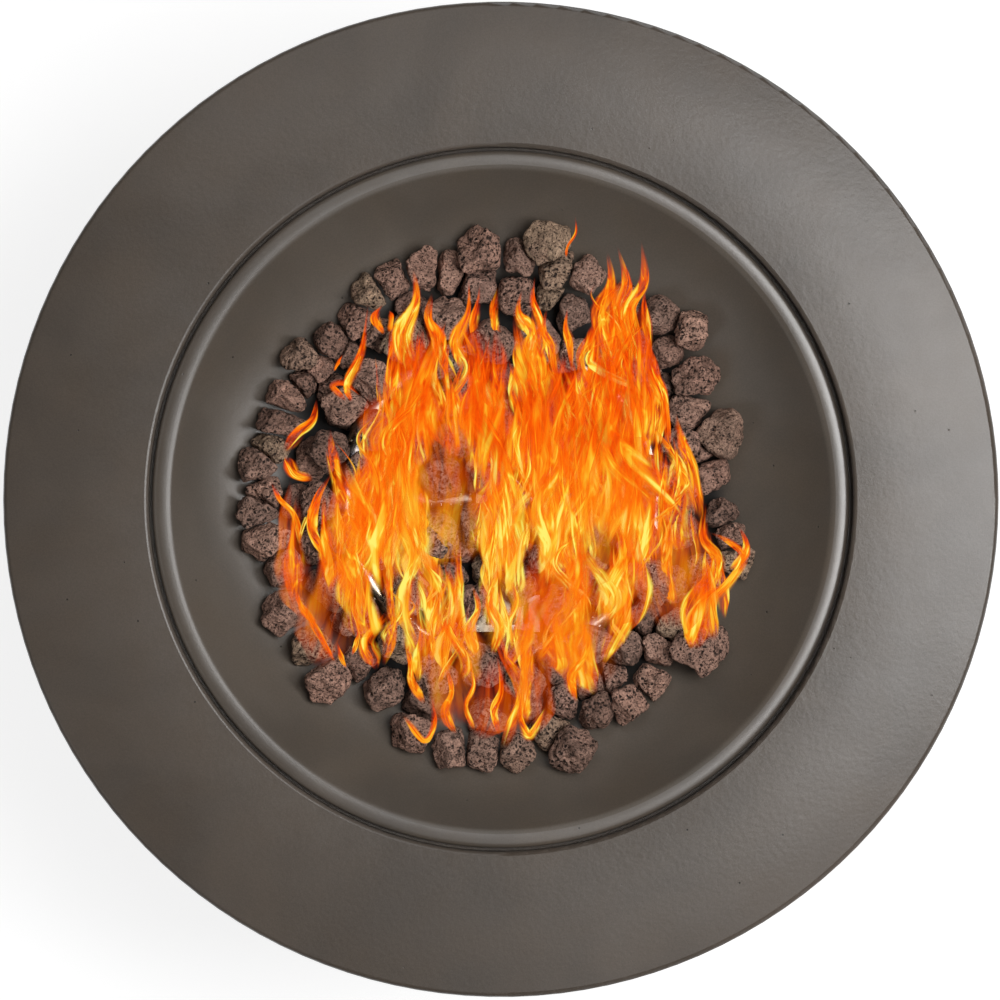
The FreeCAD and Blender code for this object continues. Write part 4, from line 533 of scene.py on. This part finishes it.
def weathered(centre, planes, directions, chance):
    """Points of a rounded, lumpy and pitted stone that fills the chip."""
    facing = np.maximum(directions @ planes[:, :3].T, 1e-4)
    reach = planes[:, 3] / facing
    radius = (reach ** -CORNER_SHARPNESS).sum(axis=1) ** (-1 / CORNER_SHARPNESS)
    points = directions * radius[:, None]
    around = points + centre + chance.uniform(-1, 1, 3)
    lumps = sum(height * clouds_at(around, size * MM) for height, size in STONE_LUMPS)
    radius = radius + (lumps + STONE_SWELL) * MM
    pits = chance.normal(size=(PITS_PER_STONE, 3))
    pits /= np.linalg.norm(pits, axis=1)[:, None]
    widths = chance.uniform(*PIT_WIDTHS, PITS_PER_STONE) ** PIT_WIDTH_POWER * MM
    apart = np.sqrt(np.maximum(2 - 2 * directions @ pits.T, 0)) * radius[:, None]
    inside = np.clip(1 - (apart / widths) ** 2, 0, 1)
    radius = radius - (inside * widths).max(axis=1) * PIT_DEPTH_PER_WIDTH
    return directions * radius[:, None] + centre


def lava_stones():
    directions, triangles = geodesic(STONE_SPLIT)
    chance = np.random.default_rng(17)
    tops = []
    for node in sorted(name for name in nodes if name.startswith("lava_stones_")):
        points, faces = [], []
        for centre, planes in chips_of(node):
            turned = directions @ np.array(Matrix.Rotation(chance.uniform(0, TURN), 3, "X"))
            faces.append(triangles + len(points) * len(directions))
            points.append(weathered(centre, planes, turned, chance))
            tops.append((centre[0], centre[1], points[-1][:, 2].max()))
        heap = mesh_object(f"{node}_rock", np.concatenate(points), np.concatenate(faces))
        looks = np.repeat(chance.random((len(points), 2)), 3 * len(triangles), axis=0)
        heap.data.uv_layers.new(name="stone").data.foreach_set("uv", looks.ravel())
        dress(heap, FINISHES["lava_stone"])
        stand_for(heap, node)
    return np.array(tops)


# ---------------------------------------------------------------- dish

DISH_GAUGE = 2
DISH_FLAT_RADIUS = 100
DISH_CURVE = 218
DISH_INNER = 112
DISH_OUTER = 235
DISH_EASE_FROM = 190
DISH_SHEEN_FROM = 239
DISH_CREST = (243.0, 288.5)
DISH_STEPS = 360
DISH_SIDE_POINTS = 60
# The floor runs on under the side this far, and the side lies this far above the solid's.
DISH_OVERLAP = 28
DISH_SKIN = 0.15
# The sheet's underside ends this many points before the rolled edge does.
DISH_UNDER_SHORT = 3
# The dish's rolled edge as its highlights in the photograph show it: radius in mm, fall in degrees.
DISH_ROLL = [
    (DISH_OUTER, -40), (235.2, -38), (236.4, -27), (237.9, -13), (239.3, -7), (240.7, -4),
    (242.1, -1), (243.6, 2), (245.0, 6), (246.4, 12), (247.6, 20), (248.6, 38), (249.2, 70),
    (249.3, 88),
]


def dish_profile():
    """Radii, levels and falls along the top of the dish from its floor to its edge, in mm."""
    roll = np.array(DISH_ROLL)
    falls = np.radians(roll[:, 1])
    steps = np.diff(roll[:, 0]) * np.tan((falls[1:] + falls[:-1]) / 2)
    drops = np.concatenate([[0], np.cumsum(steps)])
    levels = DISH_CREST[1] + np.interp(DISH_CREST[0], roll[:, 0], drops) - drops
    radii = np.linspace(DISH_INNER, DISH_OUTER, DISH_SIDE_POINTS)[:-1]
    out = radii - DISH_FLAT_RADIUS
    floor_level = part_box("fire_dish")[0].z / MM + DISH_GAUGE

    def bowl(out):
        return floor_level + DISH_SKIN + DISH_CURVE - np.sqrt(DISH_CURVE**2 - out**2)

    lift = levels[0] - bowl(DISH_OUTER - DISH_FLAT_RADIUS)
    ease = np.clip((radii - DISH_EASE_FROM) / (DISH_OUTER - DISH_EASE_FROM), 0, 1) ** 2
    return (
        np.concatenate([radii, roll[:, 0]]),
        np.concatenate([bowl(out) + lift * ease, levels]),
        np.concatenate([-np.arcsin(out / DISH_CURVE), falls]),
    )


def revolved(name, line, steps):
    """A line of radii and levels in metres, turned about the object's axis."""
    turns = np.linspace(0, 2 * math.pi, steps, endpoint=False)
    points = [(r * math.cos(turn), r * math.sin(turn), z) for turn in turns for r, z in line]
    count = len(line)
    faces = []
    for step in range(steps):
        after = (step + 1) % steps
        for row in range(count - 1):
            corner, beside = step * count + row, after * count + row
            faces.append((corner, beside, beside + 1, corner + 1))
    return mesh_object(name, points, faces)


def dish():
    """The dish's side and rolled edge turned anew, and its floor with the holes as it is."""
    radii, levels, falls = dish_profile()
    start = int(np.argmax(radii >= DISH_SHEEN_FROM))
    top = np.stack([radii, levels], 1) * MM
    inner = radii - DISH_GAUGE * np.sin(falls)
    below = levels - DISH_GAUGE * np.cos(falls)
    under = np.stack([inner, below], 1)[:-DISH_UNDER_SHORT] * MM
    side = revolved("dish_side", np.concatenate([under[start::-1], top[: start + 1]]), DISH_STEPS)
    edge = revolved("dish_edge", np.concatenate([top[start:], under[: start - 1 : -1]]), DISH_STEPS)
    source = nodes["fire_dish"].data
    spots = [tuple(vertex.co) for vertex in source.vertices]
    reach = (DISH_INNER + DISH_OVERLAP) * MM
    near = {i for i, (x, y, _) in enumerate(spots) if math.hypot(x, y) < reach}
    kept = [tuple(face.vertices) for face in source.polygons if near.issuperset(face.vertices)]
    floor_part = mesh_object("dish_floor", spots, kept, smooth=False)
    # The rolled edge is rubbed to a higher sheen.
    sheen = satin_paint("dish_edge_paint", *DISH_PAINT, specular=1.0)
    paint = FINISHES["dish_paint"]
    for piece, material in ((side, paint), (floor_part, paint), (edge, sheen)):
        dress(piece, material)
        stand_for(piece, "fire_dish")


# ---------------------------------------------------------------- ring burner

RING_STEPS = 240
TUBE_STEPS = 32
ARM_STEPS = 60
# An arm starts this far inside the hub, in mm, and ends this share of the tube's radius short of
# the ring's centre line.
ARM_IN_HUB = 1
ARM_SHORT = 0.6
# Ports are in every fifth step of these rows of faces, and their inset and depth are in mm.
PORT_EVERY = 5
PORT_ROWS = (5, 10)
PORT_INSET = 0.3
PORT_DEPTH = 1.6


def tube_grid(name, centre_of, across_of, radius, steps, closed):
    """A round tube along a path, as a grid of quads, with its path given by functions of a step."""
    rings = []
    for step in range(steps if closed else steps + 1):
        centre, across = centre_of(step), across_of(step)
        angles = [2 * math.pi * turn / TUBE_STEPS for turn in range(TUBE_STEPS)]
        up = Vector((0, 0, 1))
        rings.append([centre + (across * math.cos(a) + up * math.sin(a)) * radius for a in angles])
    points = [point for ring in rings for point in ring]
    faces = []
    for step in range(steps):
        after = (step + 1) % len(rings)
        for turn in range(TUBE_STEPS):
            beside = (turn + 1) % TUBE_STEPS
            faces.append(
                (
                    step * TUBE_STEPS + turn,
                    after * TUBE_STEPS + turn,
                    after * TUBE_STEPS + beside,
                    step * TUBE_STEPS + beside,
                )
            )
    return mesh_object(name, points, faces)


def cut_ports(thing, steps):
    """Sinks a small port in every few faces of the tube's upper rows."""
    bm = bmesh.new()
    bm.from_mesh(thing.data)
    bm.faces.ensure_lookup_table()
    chosen = [
        bm.faces[step * TUBE_STEPS + row]
        for step in range(0, steps, PORT_EVERY)
        for row in PORT_ROWS
    ]
    bmesh.ops.inset_individual(bm, faces=chosen, thickness=PORT_INSET * MM)
    for face in chosen:
        moved = bmesh.ops.extrude_discrete_faces(bm, faces=[face])["faces"][0]
        for vertex in moved.verts:
            vertex.co -= moved.normal * PORT_DEPTH * MM
    bm.normal_update()
    bm.to_mesh(thing.data)
    bm.free()


def burner():
    low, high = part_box("burner_ring")
    tube = (high.z - low.z) / 2
    circle = (high.x - low.x) / 2 - tube
    level = (high.z + low.z) / 2

    def around(step):
        angle = 2 * math.pi * step / RING_STEPS
        return Vector((math.cos(angle), math.sin(angle), 0))

    upright = Vector((0, 0, level))
    ring = tube_grid(
        "burner_ring_tube",
        lambda step: around(step) * circle + upright,
        around,
        tube,
        RING_STEPS,
        closed=True,
    )
    cut_ports(ring, RING_STEPS)
    arm_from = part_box("burner_hub")[1].x - ARM_IN_HUB * MM
    arm_to = circle - tube * ARM_SHORT
    arms = []
    for side in (-1, 1):
        across = Vector((0, side, 0))
        arm = tube_grid(
            f"burner_arm_{'left' if side < 0 else 'right'}",
            lambda step, side=side: Vector(
                (side * (arm_from + (arm_to - arm_from) * step / ARM_STEPS), 0, level)
            ),
            lambda step, across=across: across,
            tube,
            ARM_STEPS,
            closed=False,
        )
        cut_ports(arm, ARM_STEPS)
        arms.append(arm)
    for piece in (ring, *arms):
        dress(piece, FINISHES["stainless"])
        stand_for(piece, "burner_ring")


# ---------------------------------------------------------------- flames

FLAME_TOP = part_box("flames")[1].z
FLAME_SINK = 0.004
BARE_LEVEL = 0.27
# A flame climbs about as much as in the solids, and leans more and more as it does.
RISE_PER_LENGTH = 0.55
LEAN_POWER = 1.6
TONGUE_ROWS = 30
TONGUE_COLUMNS = 7
# A ribbon's width along its length, each as a share of the whole, and how deep it is cupped.
SWELL_ALONG = [0, 0.18, 0.42, 0.75, 0.93, 1]
SWELL = [0.35, 0.85, 1, 0.55, 0.2, 0.02]
CUP = 0.45
# A flame's root looks for the tops of stones this near, and its level varies by this much.
NEAR_STONE = 0.022
LEVEL_SCATTER = 0.003
TRIES = 200

# Outline of the body of flame in the picture's pixels, clockwise from the upper left.
FLAME_OUTLINE = [
    (408, 292), (430, 300), (450, 322), (472, 298), (488, 300), (506, 328), (528, 300), (548, 322),
    (572, 338), (592, 330), (600, 290), (618, 262), (640, 268), (650, 340), (672, 410), (694, 470),
    (708, 520), (738, 548), (728, 590), (704, 625), (670, 600), (640, 612), (606, 655), (572, 692),
    (548, 712), (520, 728), (470, 722), (432, 725), (408, 690), (388, 652), (352, 648), (322, 632),
    (300, 596), (284, 548), (272, 500), (290, 462), (318, 432), (352, 420), (364, 378), (388, 322),
]

# Holes in the fire where the stones show: centre and half sizes in pixels.
FLAME_GAPS = [
    (452, 500, 28, 52), (436, 474, 14, 22), (534, 562, 12, 24), (603, 543, 10, 22),
    (473, 588, 13, 10), (552, 588, 15, 18), (512, 448, 6, 14), (468, 400, 5, 12),
    (650, 440, 4, 14), (636, 300, 3, 10), (500, 668, 14, 16), (440, 694, 14, 20),
    (560, 690, 18, 16), (482, 704, 12, 20), (600, 626, 12, 14), (402, 644, 10, 14),
    (652, 580, 12, 22), (372, 600, 8, 16), (512, 606, 6, 16), (420, 590, 6, 16),
    (322, 482, 13, 13), (292, 497, 13, 11), (316, 572, 8, 12), (314, 597, 9, 9),
    (332, 618, 20, 13), (345, 645, 13, 11), (686, 572, 14, 18), (668, 608, 20, 12),
]
# Below this line of the picture the fire is thin: this share of its ribbons is let through.
THIN_BELOW = 695
THIN_SHARE = 0.35
# The fire is hottest around this pixel, and this far from it the extra heat is down to a third.
HOT_PIXEL = (500, 555)
HOT_REACH = (170, 90)
HOT_EXTRA = 0.28
COOLED_BY = 0.04
HEAT_SCATTER = 0.06

# Tongues that stand out: the pixels that each passes, from root to tip, and its width in mm.
FLAME_LEADERS = [
    ([(352, 402), (348, 385), (362, 352), (369, 299)], 9),
    ([(384, 334), (376, 318), (383, 304)], 9),
    ([(389, 332), (391, 318), (389, 310)], 6),
    ([(346, 401), (332, 386), (345, 383), (362, 397)], 7),
    ([(334, 371), (338, 362), (343, 354)], 4),
    ([(284, 452), (300, 432), (314, 418), (317, 398)], 11),
    ([(312, 478), (296, 474), (288, 462), (286, 455)], 13),
    ([(300, 545), (293, 515), (278, 498), (270, 478)], 8),
    ([(330, 560), (312, 530), (318, 500), (333, 470)], 12),
    ([(318, 625), (304, 610), (299, 600), (296, 588)], 7),
    ([(334, 662), (322, 640), (310, 618), (306, 600)], 8),
    ([(346, 668), (340, 655), (337, 640)], 5),
    ([(352, 655), (358, 640), (356, 625)], 6),
    ([(412, 372), (402, 336), (416, 300), (413, 268)], 20),
    ([(440, 372), (436, 338), (428, 318), (432, 292)], 14),
    ([(462, 372), (456, 340), (468, 312), (469, 276)], 12),
    ([(482, 376), (474, 330), (478, 306), (480, 284)], 8),
    ([(500, 372), (496, 330), (494, 308), (498, 286)], 10),
    ([(520, 372), (528, 332), (518, 312), (522, 289)], 12),
    ([(536, 382), (540, 330), (532, 300), (535, 275)], 9),
    ([(556, 380), (552, 348), (544, 330), (547, 308)], 10),
    ([(572, 372), (570, 344), (566, 325), (568, 306)], 7),
    ([(566, 258), (568, 246), (576, 232), (575, 214)], 3),
    ([(596, 402), (580, 360), (590, 338), (604, 314)], 12),
    ([(612, 372), (602, 322), (612, 286), (607, 250)], 17),
    ([(622, 352), (618, 312), (626, 282), (617, 245)], 14),
    ([(640, 362), (628, 312), (644, 282), (641, 238)], 17),
    ([(652, 372), (648, 332), (644, 306), (645, 288)], 9),
    ([(668, 452), (662, 402), (650, 372), (648, 340)], 14),
    ([(700, 522), (692, 472), (680, 442), (676, 412)], 14),
    ([(712, 592), (718, 560), (704, 538), (706, 500)], 13),
    ([(702, 612), (732, 580), (744, 556), (728, 540), (708, 532)], 10),
    ([(730, 570), (742, 556), (746, 542), (738, 526)], 9),
    ([(692, 650), (690, 620), (706, 596), (728, 582)], 11),
    ([(404, 716), (424, 740), (434, 722), (430, 690)], 7),
    ([(456, 734), (446, 712), (452, 690), (444, 660)], 9),
    ([(474, 730), (466, 706), (474, 684), (468, 652)], 8),
    ([(500, 736), (494, 712), (502, 690), (496, 650)], 8),
    ([(546, 708), (530, 736), (520, 716), (520, 668)], 8),
    ([(576, 702), (570, 676), (586, 652), (590, 622)], 10),
    ([(424, 704), (412, 682), (410, 662), (404, 636)], 9),
    ([(478, 656), (470, 632), (478, 608), (472, 584)], 13),
    ([(492, 654), (499, 628), (490, 604), (496, 578)], 14),
    ([(512, 650), (507, 624), (515, 600), (509, 574)], 12),
]


def smooth_path(knots, count):
    """Points along a curve that passes its knots."""
    knots = np.array(knots, dtype=float)
    held = np.vstack([2 * knots[0] - knots[1], knots, 2 * knots[-1] - knots[-2]])
    steps = np.linspace(0, len(knots) - 1, count)
    first = np.minimum(steps.astype(int), len(knots) - 2)
    t = (steps - first)[:, None]
    a, b, c, d = (held[first + shift] for shift in range(4))
    bend = (2 * a - 5 * b + 4 * c - d) * t**2 + (3 * b - a - 3 * c + d) * t**3
    return 0.5 * (2 * b + (c - a) * t + bend)


def inside(point, outline):
    """Whether a point lies within a closed outline."""
    x, y = point
    crossings = 0
    for (ax, ay), (bx, by) in zip(outline, outline[1:] + outline[:1]):
        if (ay > y) != (by > y) and x < ax + (bx - ax) * (y - ay) / (by - ay):
            crossings += 1
    return crossings % 2 == 1


class Fire:
    """Ribbons of flame gathered into one mesh, with what the material needs at each point."""

    def __init__(self, name, tops, chance):
        self.name = name
        self.tops = tops
        self.chance = chance
        self.points, self.faces, self.place, self.span, self.mood = [], [], [], [], []

    def ribbon(self, pixels, width, heat, density):
        """A ribbon along pixels of the picture, in mm wide, that rises as it goes."""
        eye = bpy.context.scene.camera.location
        flat = smooth_path(pixels, TONGUE_ROWS)
        steps = np.linalg.norm(np.diff(flat, axis=0), axis=1)
        length = steps.sum() * METRES_PER_PIXEL
        v = np.linspace(0, 1, TONGUE_ROWS)
        base = self.heap_level(flat[0])
        climb = length * RISE_PER_LENGTH * self.chance.uniform(0.8, 1.2)
        level = base + min(climb, FLAME_TOP - base) * v ** (1 / LEAN_POWER)
        spread = (eye.z - level) / CAMERA_DISTANCE * METRES_PER_PIXEL
        x = eye.x + (flat[:, 0] - PICTURE_WIDTH / 2) * spread
        y = eye.y - (flat[:, 1] - PICTURE_WIDTH / 2) * spread
        line = np.stack([x, y, level], axis=1)
        ahead = np.gradient(line, axis=0)
        ahead /= np.linalg.norm(ahead, axis=1)[:, None]
        side = np.cross(ahead, (0, 0, 1.0))
        side /= np.maximum(np.linalg.norm(side, axis=1), 1e-6)[:, None]
        front = np.cross(side, ahead)
        twist = self.chance.uniform(-0.6, 0.6) + self.chance.uniform(-0.8, 0.8) * v
        side, front = (
            side * np.cos(twist)[:, None] + front * np.sin(twist)[:, None],
            front * np.cos(twist)[:, None] - side * np.sin(twist)[:, None],
        )
        swell = np.interp(v, SWELL_ALONG, SWELL)
        uneven = 1 + 0.25 * np.sin(self.chance.uniform(0, TURN) + 9 * v)
        half = width * MM / 2 * swell * uneven
        hand = self.chance.choice((-1, 1))
        shift = self.chance.uniform(0, 9, 2)
        off_centre = (flat[TONGUE_ROWS // 2] - HOT_PIXEL) / HOT_REACH
        extra = HOT_EXTRA * math.exp(-(off_centre @ off_centre)) - COOLED_BY
        mood = (heat + extra + self.chance.normal(0, HEAT_SCATTER), density)
        first = sum(len(rows) for rows in self.points)
        for u in np.linspace(-1, 1, TONGUE_COLUMNS):
            cup = CUP * (1 - u * u)
            self.points.append(line + side * (u * half)[:, None] + front * (cup * half)[:, None])
            self.place.append(np.stack([np.full(TONGUE_ROWS, (hand * u + 1) / 2), v], axis=1))
            self.span.append(np.stack([u * half * 1.2, v * length], axis=1) + shift)
            self.mood.append(np.tile(mood, (TONGUE_ROWS, 1)))
        for column in range(TONGUE_COLUMNS - 1):
            for row in range(TONGUE_ROWS - 1):
                corner = first + column * TONGUE_ROWS + row
                self.faces.append(
                    (corner, corner + 1, corner + TONGUE_ROWS + 1, corner + TONGUE_ROWS)
                )

    def heap_level(self, pixel):
        """Height of the stones' tops near a pixel of the picture."""
        x = (pixel[0] - RIM_CENTRE_PIXEL[0]) * METRES_PER_PIXEL
        y = (RIM_CENTRE_PIXEL[1] - pixel[1]) * METRES_PER_PIXEL
        near = np.hypot(self.tops[:, 0] - x, self.tops[:, 1] - y) < NEAR_STONE
        level = self.tops[near, 2].max() if near.any() else BARE_LEVEL
        return level - FLAME_SINK + self.chance.uniform(-LEVEL_SCATTER, LEVEL_SCATTER)

    def wander(self, length, width, heat, density, sway=0.07, gaps=FLAME_GAPS):
        """A ribbon somewhere in the outline, running up the picture in one soft bend or two.

        Its length is in pixels and its width in mm.
        """
        low, high = np.min(FLAME_OUTLINE, axis=0), np.max(FLAME_OUTLINE, axis=0)
        gaps = np.array(gaps, dtype=float).reshape(-1, 4)
        shares = np.linspace(0, 1, 7)
        for _ in range(TRIES):
            tip = self.chance.uniform(low, high)
            slant = self.chance.normal(0, 0.12)
            reach = length * self.chance.uniform(0.65, 1.35)
            root = tip + reach * np.array([math.sin(slant), math.cos(slant)])
            knots = root + (tip - root) * shares[:, None]
            turns = math.pi * self.chance.uniform(0.7, 2.2) * shares + self.chance.uniform(0, TURN)
            knots[:, 0] += self.chance.normal(0, sway) * reach * np.sin(turns)
            off = (knots[1:-1, None, :] - gaps[None, :, :2]) / gaps[None, :, 2:]
            open_way = not len(gaps) or (off**2).sum(axis=2).min() > 1
            if root[1] > THIN_BELOW and self.chance.random() > THIN_SHARE:
                continue
            if open_way and inside(tip, FLAME_OUTLINE) and inside(knots[2], FLAME_OUTLINE):
                break
        self.ribbon(knots, width * self.chance.uniform(0.6, 1.5), heat, density)

    def finish(self, material):
        thing = mesh_object(self.name, np.concatenate(self.points), self.faces)
        corners = np.array([loop.vertex_index for loop in thing.data.loops])
        for name, values in (("place", self.place), ("span", self.span), ("mood", self.mood)):
            layer = thing.data.uv_layers.new(name=name)
            layer.data.foreach_set("uv", np.concatenate(values)[corners].ravel())
        dress(thing, material)
        thing.visible_shadow = False
        thing.visible_diffuse = False
        thing.visible_glossy = False
        stand_for(thing, "flames")


def flames(tops):
    chance = np.random.default_rng(5)
    veils = Fire("flame_veils", tops, chance)
    for _ in range(45):
        veils.wander(length=110, width=42, heat=0.06, density=0.34, gaps=())
    veils.finish(burning_gas("flame_veil", 0.012, 0.06, 0.4))
    sheets = Fire("flame_sheets", tops, chance)
    for _ in range(130):
        sheets.wander(length=110, width=24, heat=0.2, density=0.75)
    sheets.finish(burning_gas("flame_sheet", 0.009, 0.06))
    tongues = Fire("flame_tongues", tops, chance)
    for _ in range(170):
        tongues.wander(length=85, width=12, heat=0.28, density=0.9)
    for pixels, width in FLAME_LEADERS:
        tongues.ribbon(pixels, width, heat=0.26, density=1.0)
        tongues.ribbon(pixels, width * 0.7, heat=0.34, density=0.9)
    tongues.finish(FINISHES["flame"])
    threads = Fire("flame_threads", tops, chance)
    for _ in range(130):
        threads.wander(length=65, width=4.5, heat=0.42, density=0.85, sway=0.12)
    threads.finish(burning_gas("flame_thread", 0.004, 0.03))
    bpy.context.scene.cycles.transparent_max_bounces = 64


# ---------------------------------------------------------------- stage, light and camera

STUDIO_RADIUS = 10.0
STUDIO_COVE = 0.9
STUDIO_HEIGHT = 1.0
# The floor starts this far from the axis, and its flat ends this far before the cove.
STUDIO_START = 0.01
BEFORE_COVE = 0.1
COVE_BENDS = range(0, 91, 6)
FLOOR_COLOUR = (0.4, 0.4, 0.4, 1)
# How strongly the floor, the backdrop and the world shine to the camera.
GLOW = 0.84


def floor():
    """A pale floor that sweeps up into a backdrop, white to the camera and in reflections."""
    material = bpy.data.materials.new("floor")
    material.use_nodes = True
    tree = material.node_tree
    shader = tree.nodes["Principled BSDF"]
    shader.inputs["Base Color"].default_value = FLOOR_COLOUR
    shader.inputs["Roughness"].default_value = 0.8
    shader.inputs["Specular IOR Level"].default_value = 0.1
    shader.inputs["Emission Color"].default_value = (1, 1, 1, 1)
    rays = tree.nodes.new("ShaderNodeLightPath")
    seen = rays.outputs["Is Camera Ray"]
    for other in ("Is Glossy Ray", "Is Transmission Ray"):
        either = tree.nodes.new("ShaderNodeMath")
        either.operation = "MAXIMUM"
        tree.links.new(seen, either.inputs[0])
        tree.links.new(rays.outputs[other], either.inputs[1])
        seen = either.outputs[0]
    glow = tree.nodes.new("ShaderNodeMath")
    glow.operation = "MULTIPLY"
    tree.links.new(seen, glow.inputs[0])
    glow.inputs[1].default_value = GLOW
    tree.links.new(glow.outputs[0], shader.inputs["Emission Strength"])
    bends = [math.radians(bend) for bend in COVE_BENDS]
    flat = STUDIO_RADIUS - STUDIO_COVE
    cove = [
        (flat + STUDIO_COVE * math.sin(bend), STUDIO_COVE * (1 - math.cos(bend))) for bend in bends
    ]
    start, end = (STUDIO_START, 0), (flat - BEFORE_COVE, 0)
    line = [start, end, *cove, (STUDIO_RADIUS, STUDIO_HEIGHT)]
    dress(revolved("floor", line, 128), material)


# How strongly the world lights the bowl.
FILL_LEVEL = 0.0023


def world():
    surroundings = bpy.data.worlds.new("studio")
    bpy.context.scene.world = surroundings
    surroundings.use_nodes = True
    tree = surroundings.node_tree
    background = tree.nodes["Background"]
    rays = tree.nodes.new("ShaderNodeLightPath")
    level = tree.nodes.new("ShaderNodeMapRange")
    tree.links.new(rays.outputs["Is Camera Ray"], level.inputs["Value"])
    background.inputs["Color"].default_value = (1, 1, 1, 1)
    level.inputs["To Min"].default_value = FILL_LEVEL
    level.inputs["To Max"].default_value = GLOW
    tree.links.new(level.outputs["Result"], background.inputs["Strength"])


def softbox(name, azimuth, elevation, distance, size, power):
    """A square lamp that faces the bowl, placed by its direction as seen from the bowl."""
    a, e = math.radians(azimuth), math.radians(elevation)
    away = Vector((math.cos(a) * math.cos(e), math.sin(a) * math.cos(e), math.sin(e)))
    lamp = bpy.data.lights.new(name, "AREA")
    lamp.shape = "SQUARE"
    lamp.size = size
    lamp.energy = power
    thing = link(bpy.data.objects.new(name, lamp))
    thing.location = away * distance + Vector((0, 0, RIM_LEVEL))
    thing.rotation_mode = "QUATERNION"
    thing.rotation_quaternion = away.to_track_quat("Z", "Y")


SOFTBOXES = [
    # name, azimuth, elevation, distance, size, power
    ("key", 10, 68, 3.0, 1.5, 50.0),
    ("back_fill", 95, 62, 2.5, 1.3, 4.9),
    ("side_fill", 290, 62, 2.5, 1.3, 4.4),
    ("edge_light", 352, 50, 2.6, 0.7, 13.0),
    ("front_fill", 214, 42, 2.5, 1.2, 2.4),
]


def lights():
    world()
    for row in SOFTBOXES:
        softbox(*row)


def camera():
    lens = bpy.data.cameras.new("camera")
    lens.sensor_width = 36
    lens.lens = lens.sensor_width * CAMERA_DISTANCE / (METRES_PER_PIXEL * PICTURE_WIDTH)
    eye = link(bpy.data.objects.new("camera", lens))
    half = PICTURE_WIDTH / 2
    eye.location = (
        (half - RIM_CENTRE_PIXEL[0]) * METRES_PER_PIXEL,
        (RIM_CENTRE_PIXEL[1] - half) * METRES_PER_PIXEL,
        RIM_LEVEL + CAMERA_DISTANCE,
    )
    bpy.context.scene.camera = eye


camera()
dress_nodes()
tops = lava_stones()
dish()
burner()
flames(tops)
floor()
lights()
bpy.context.scene.view_settings.view_transform = "Standard"
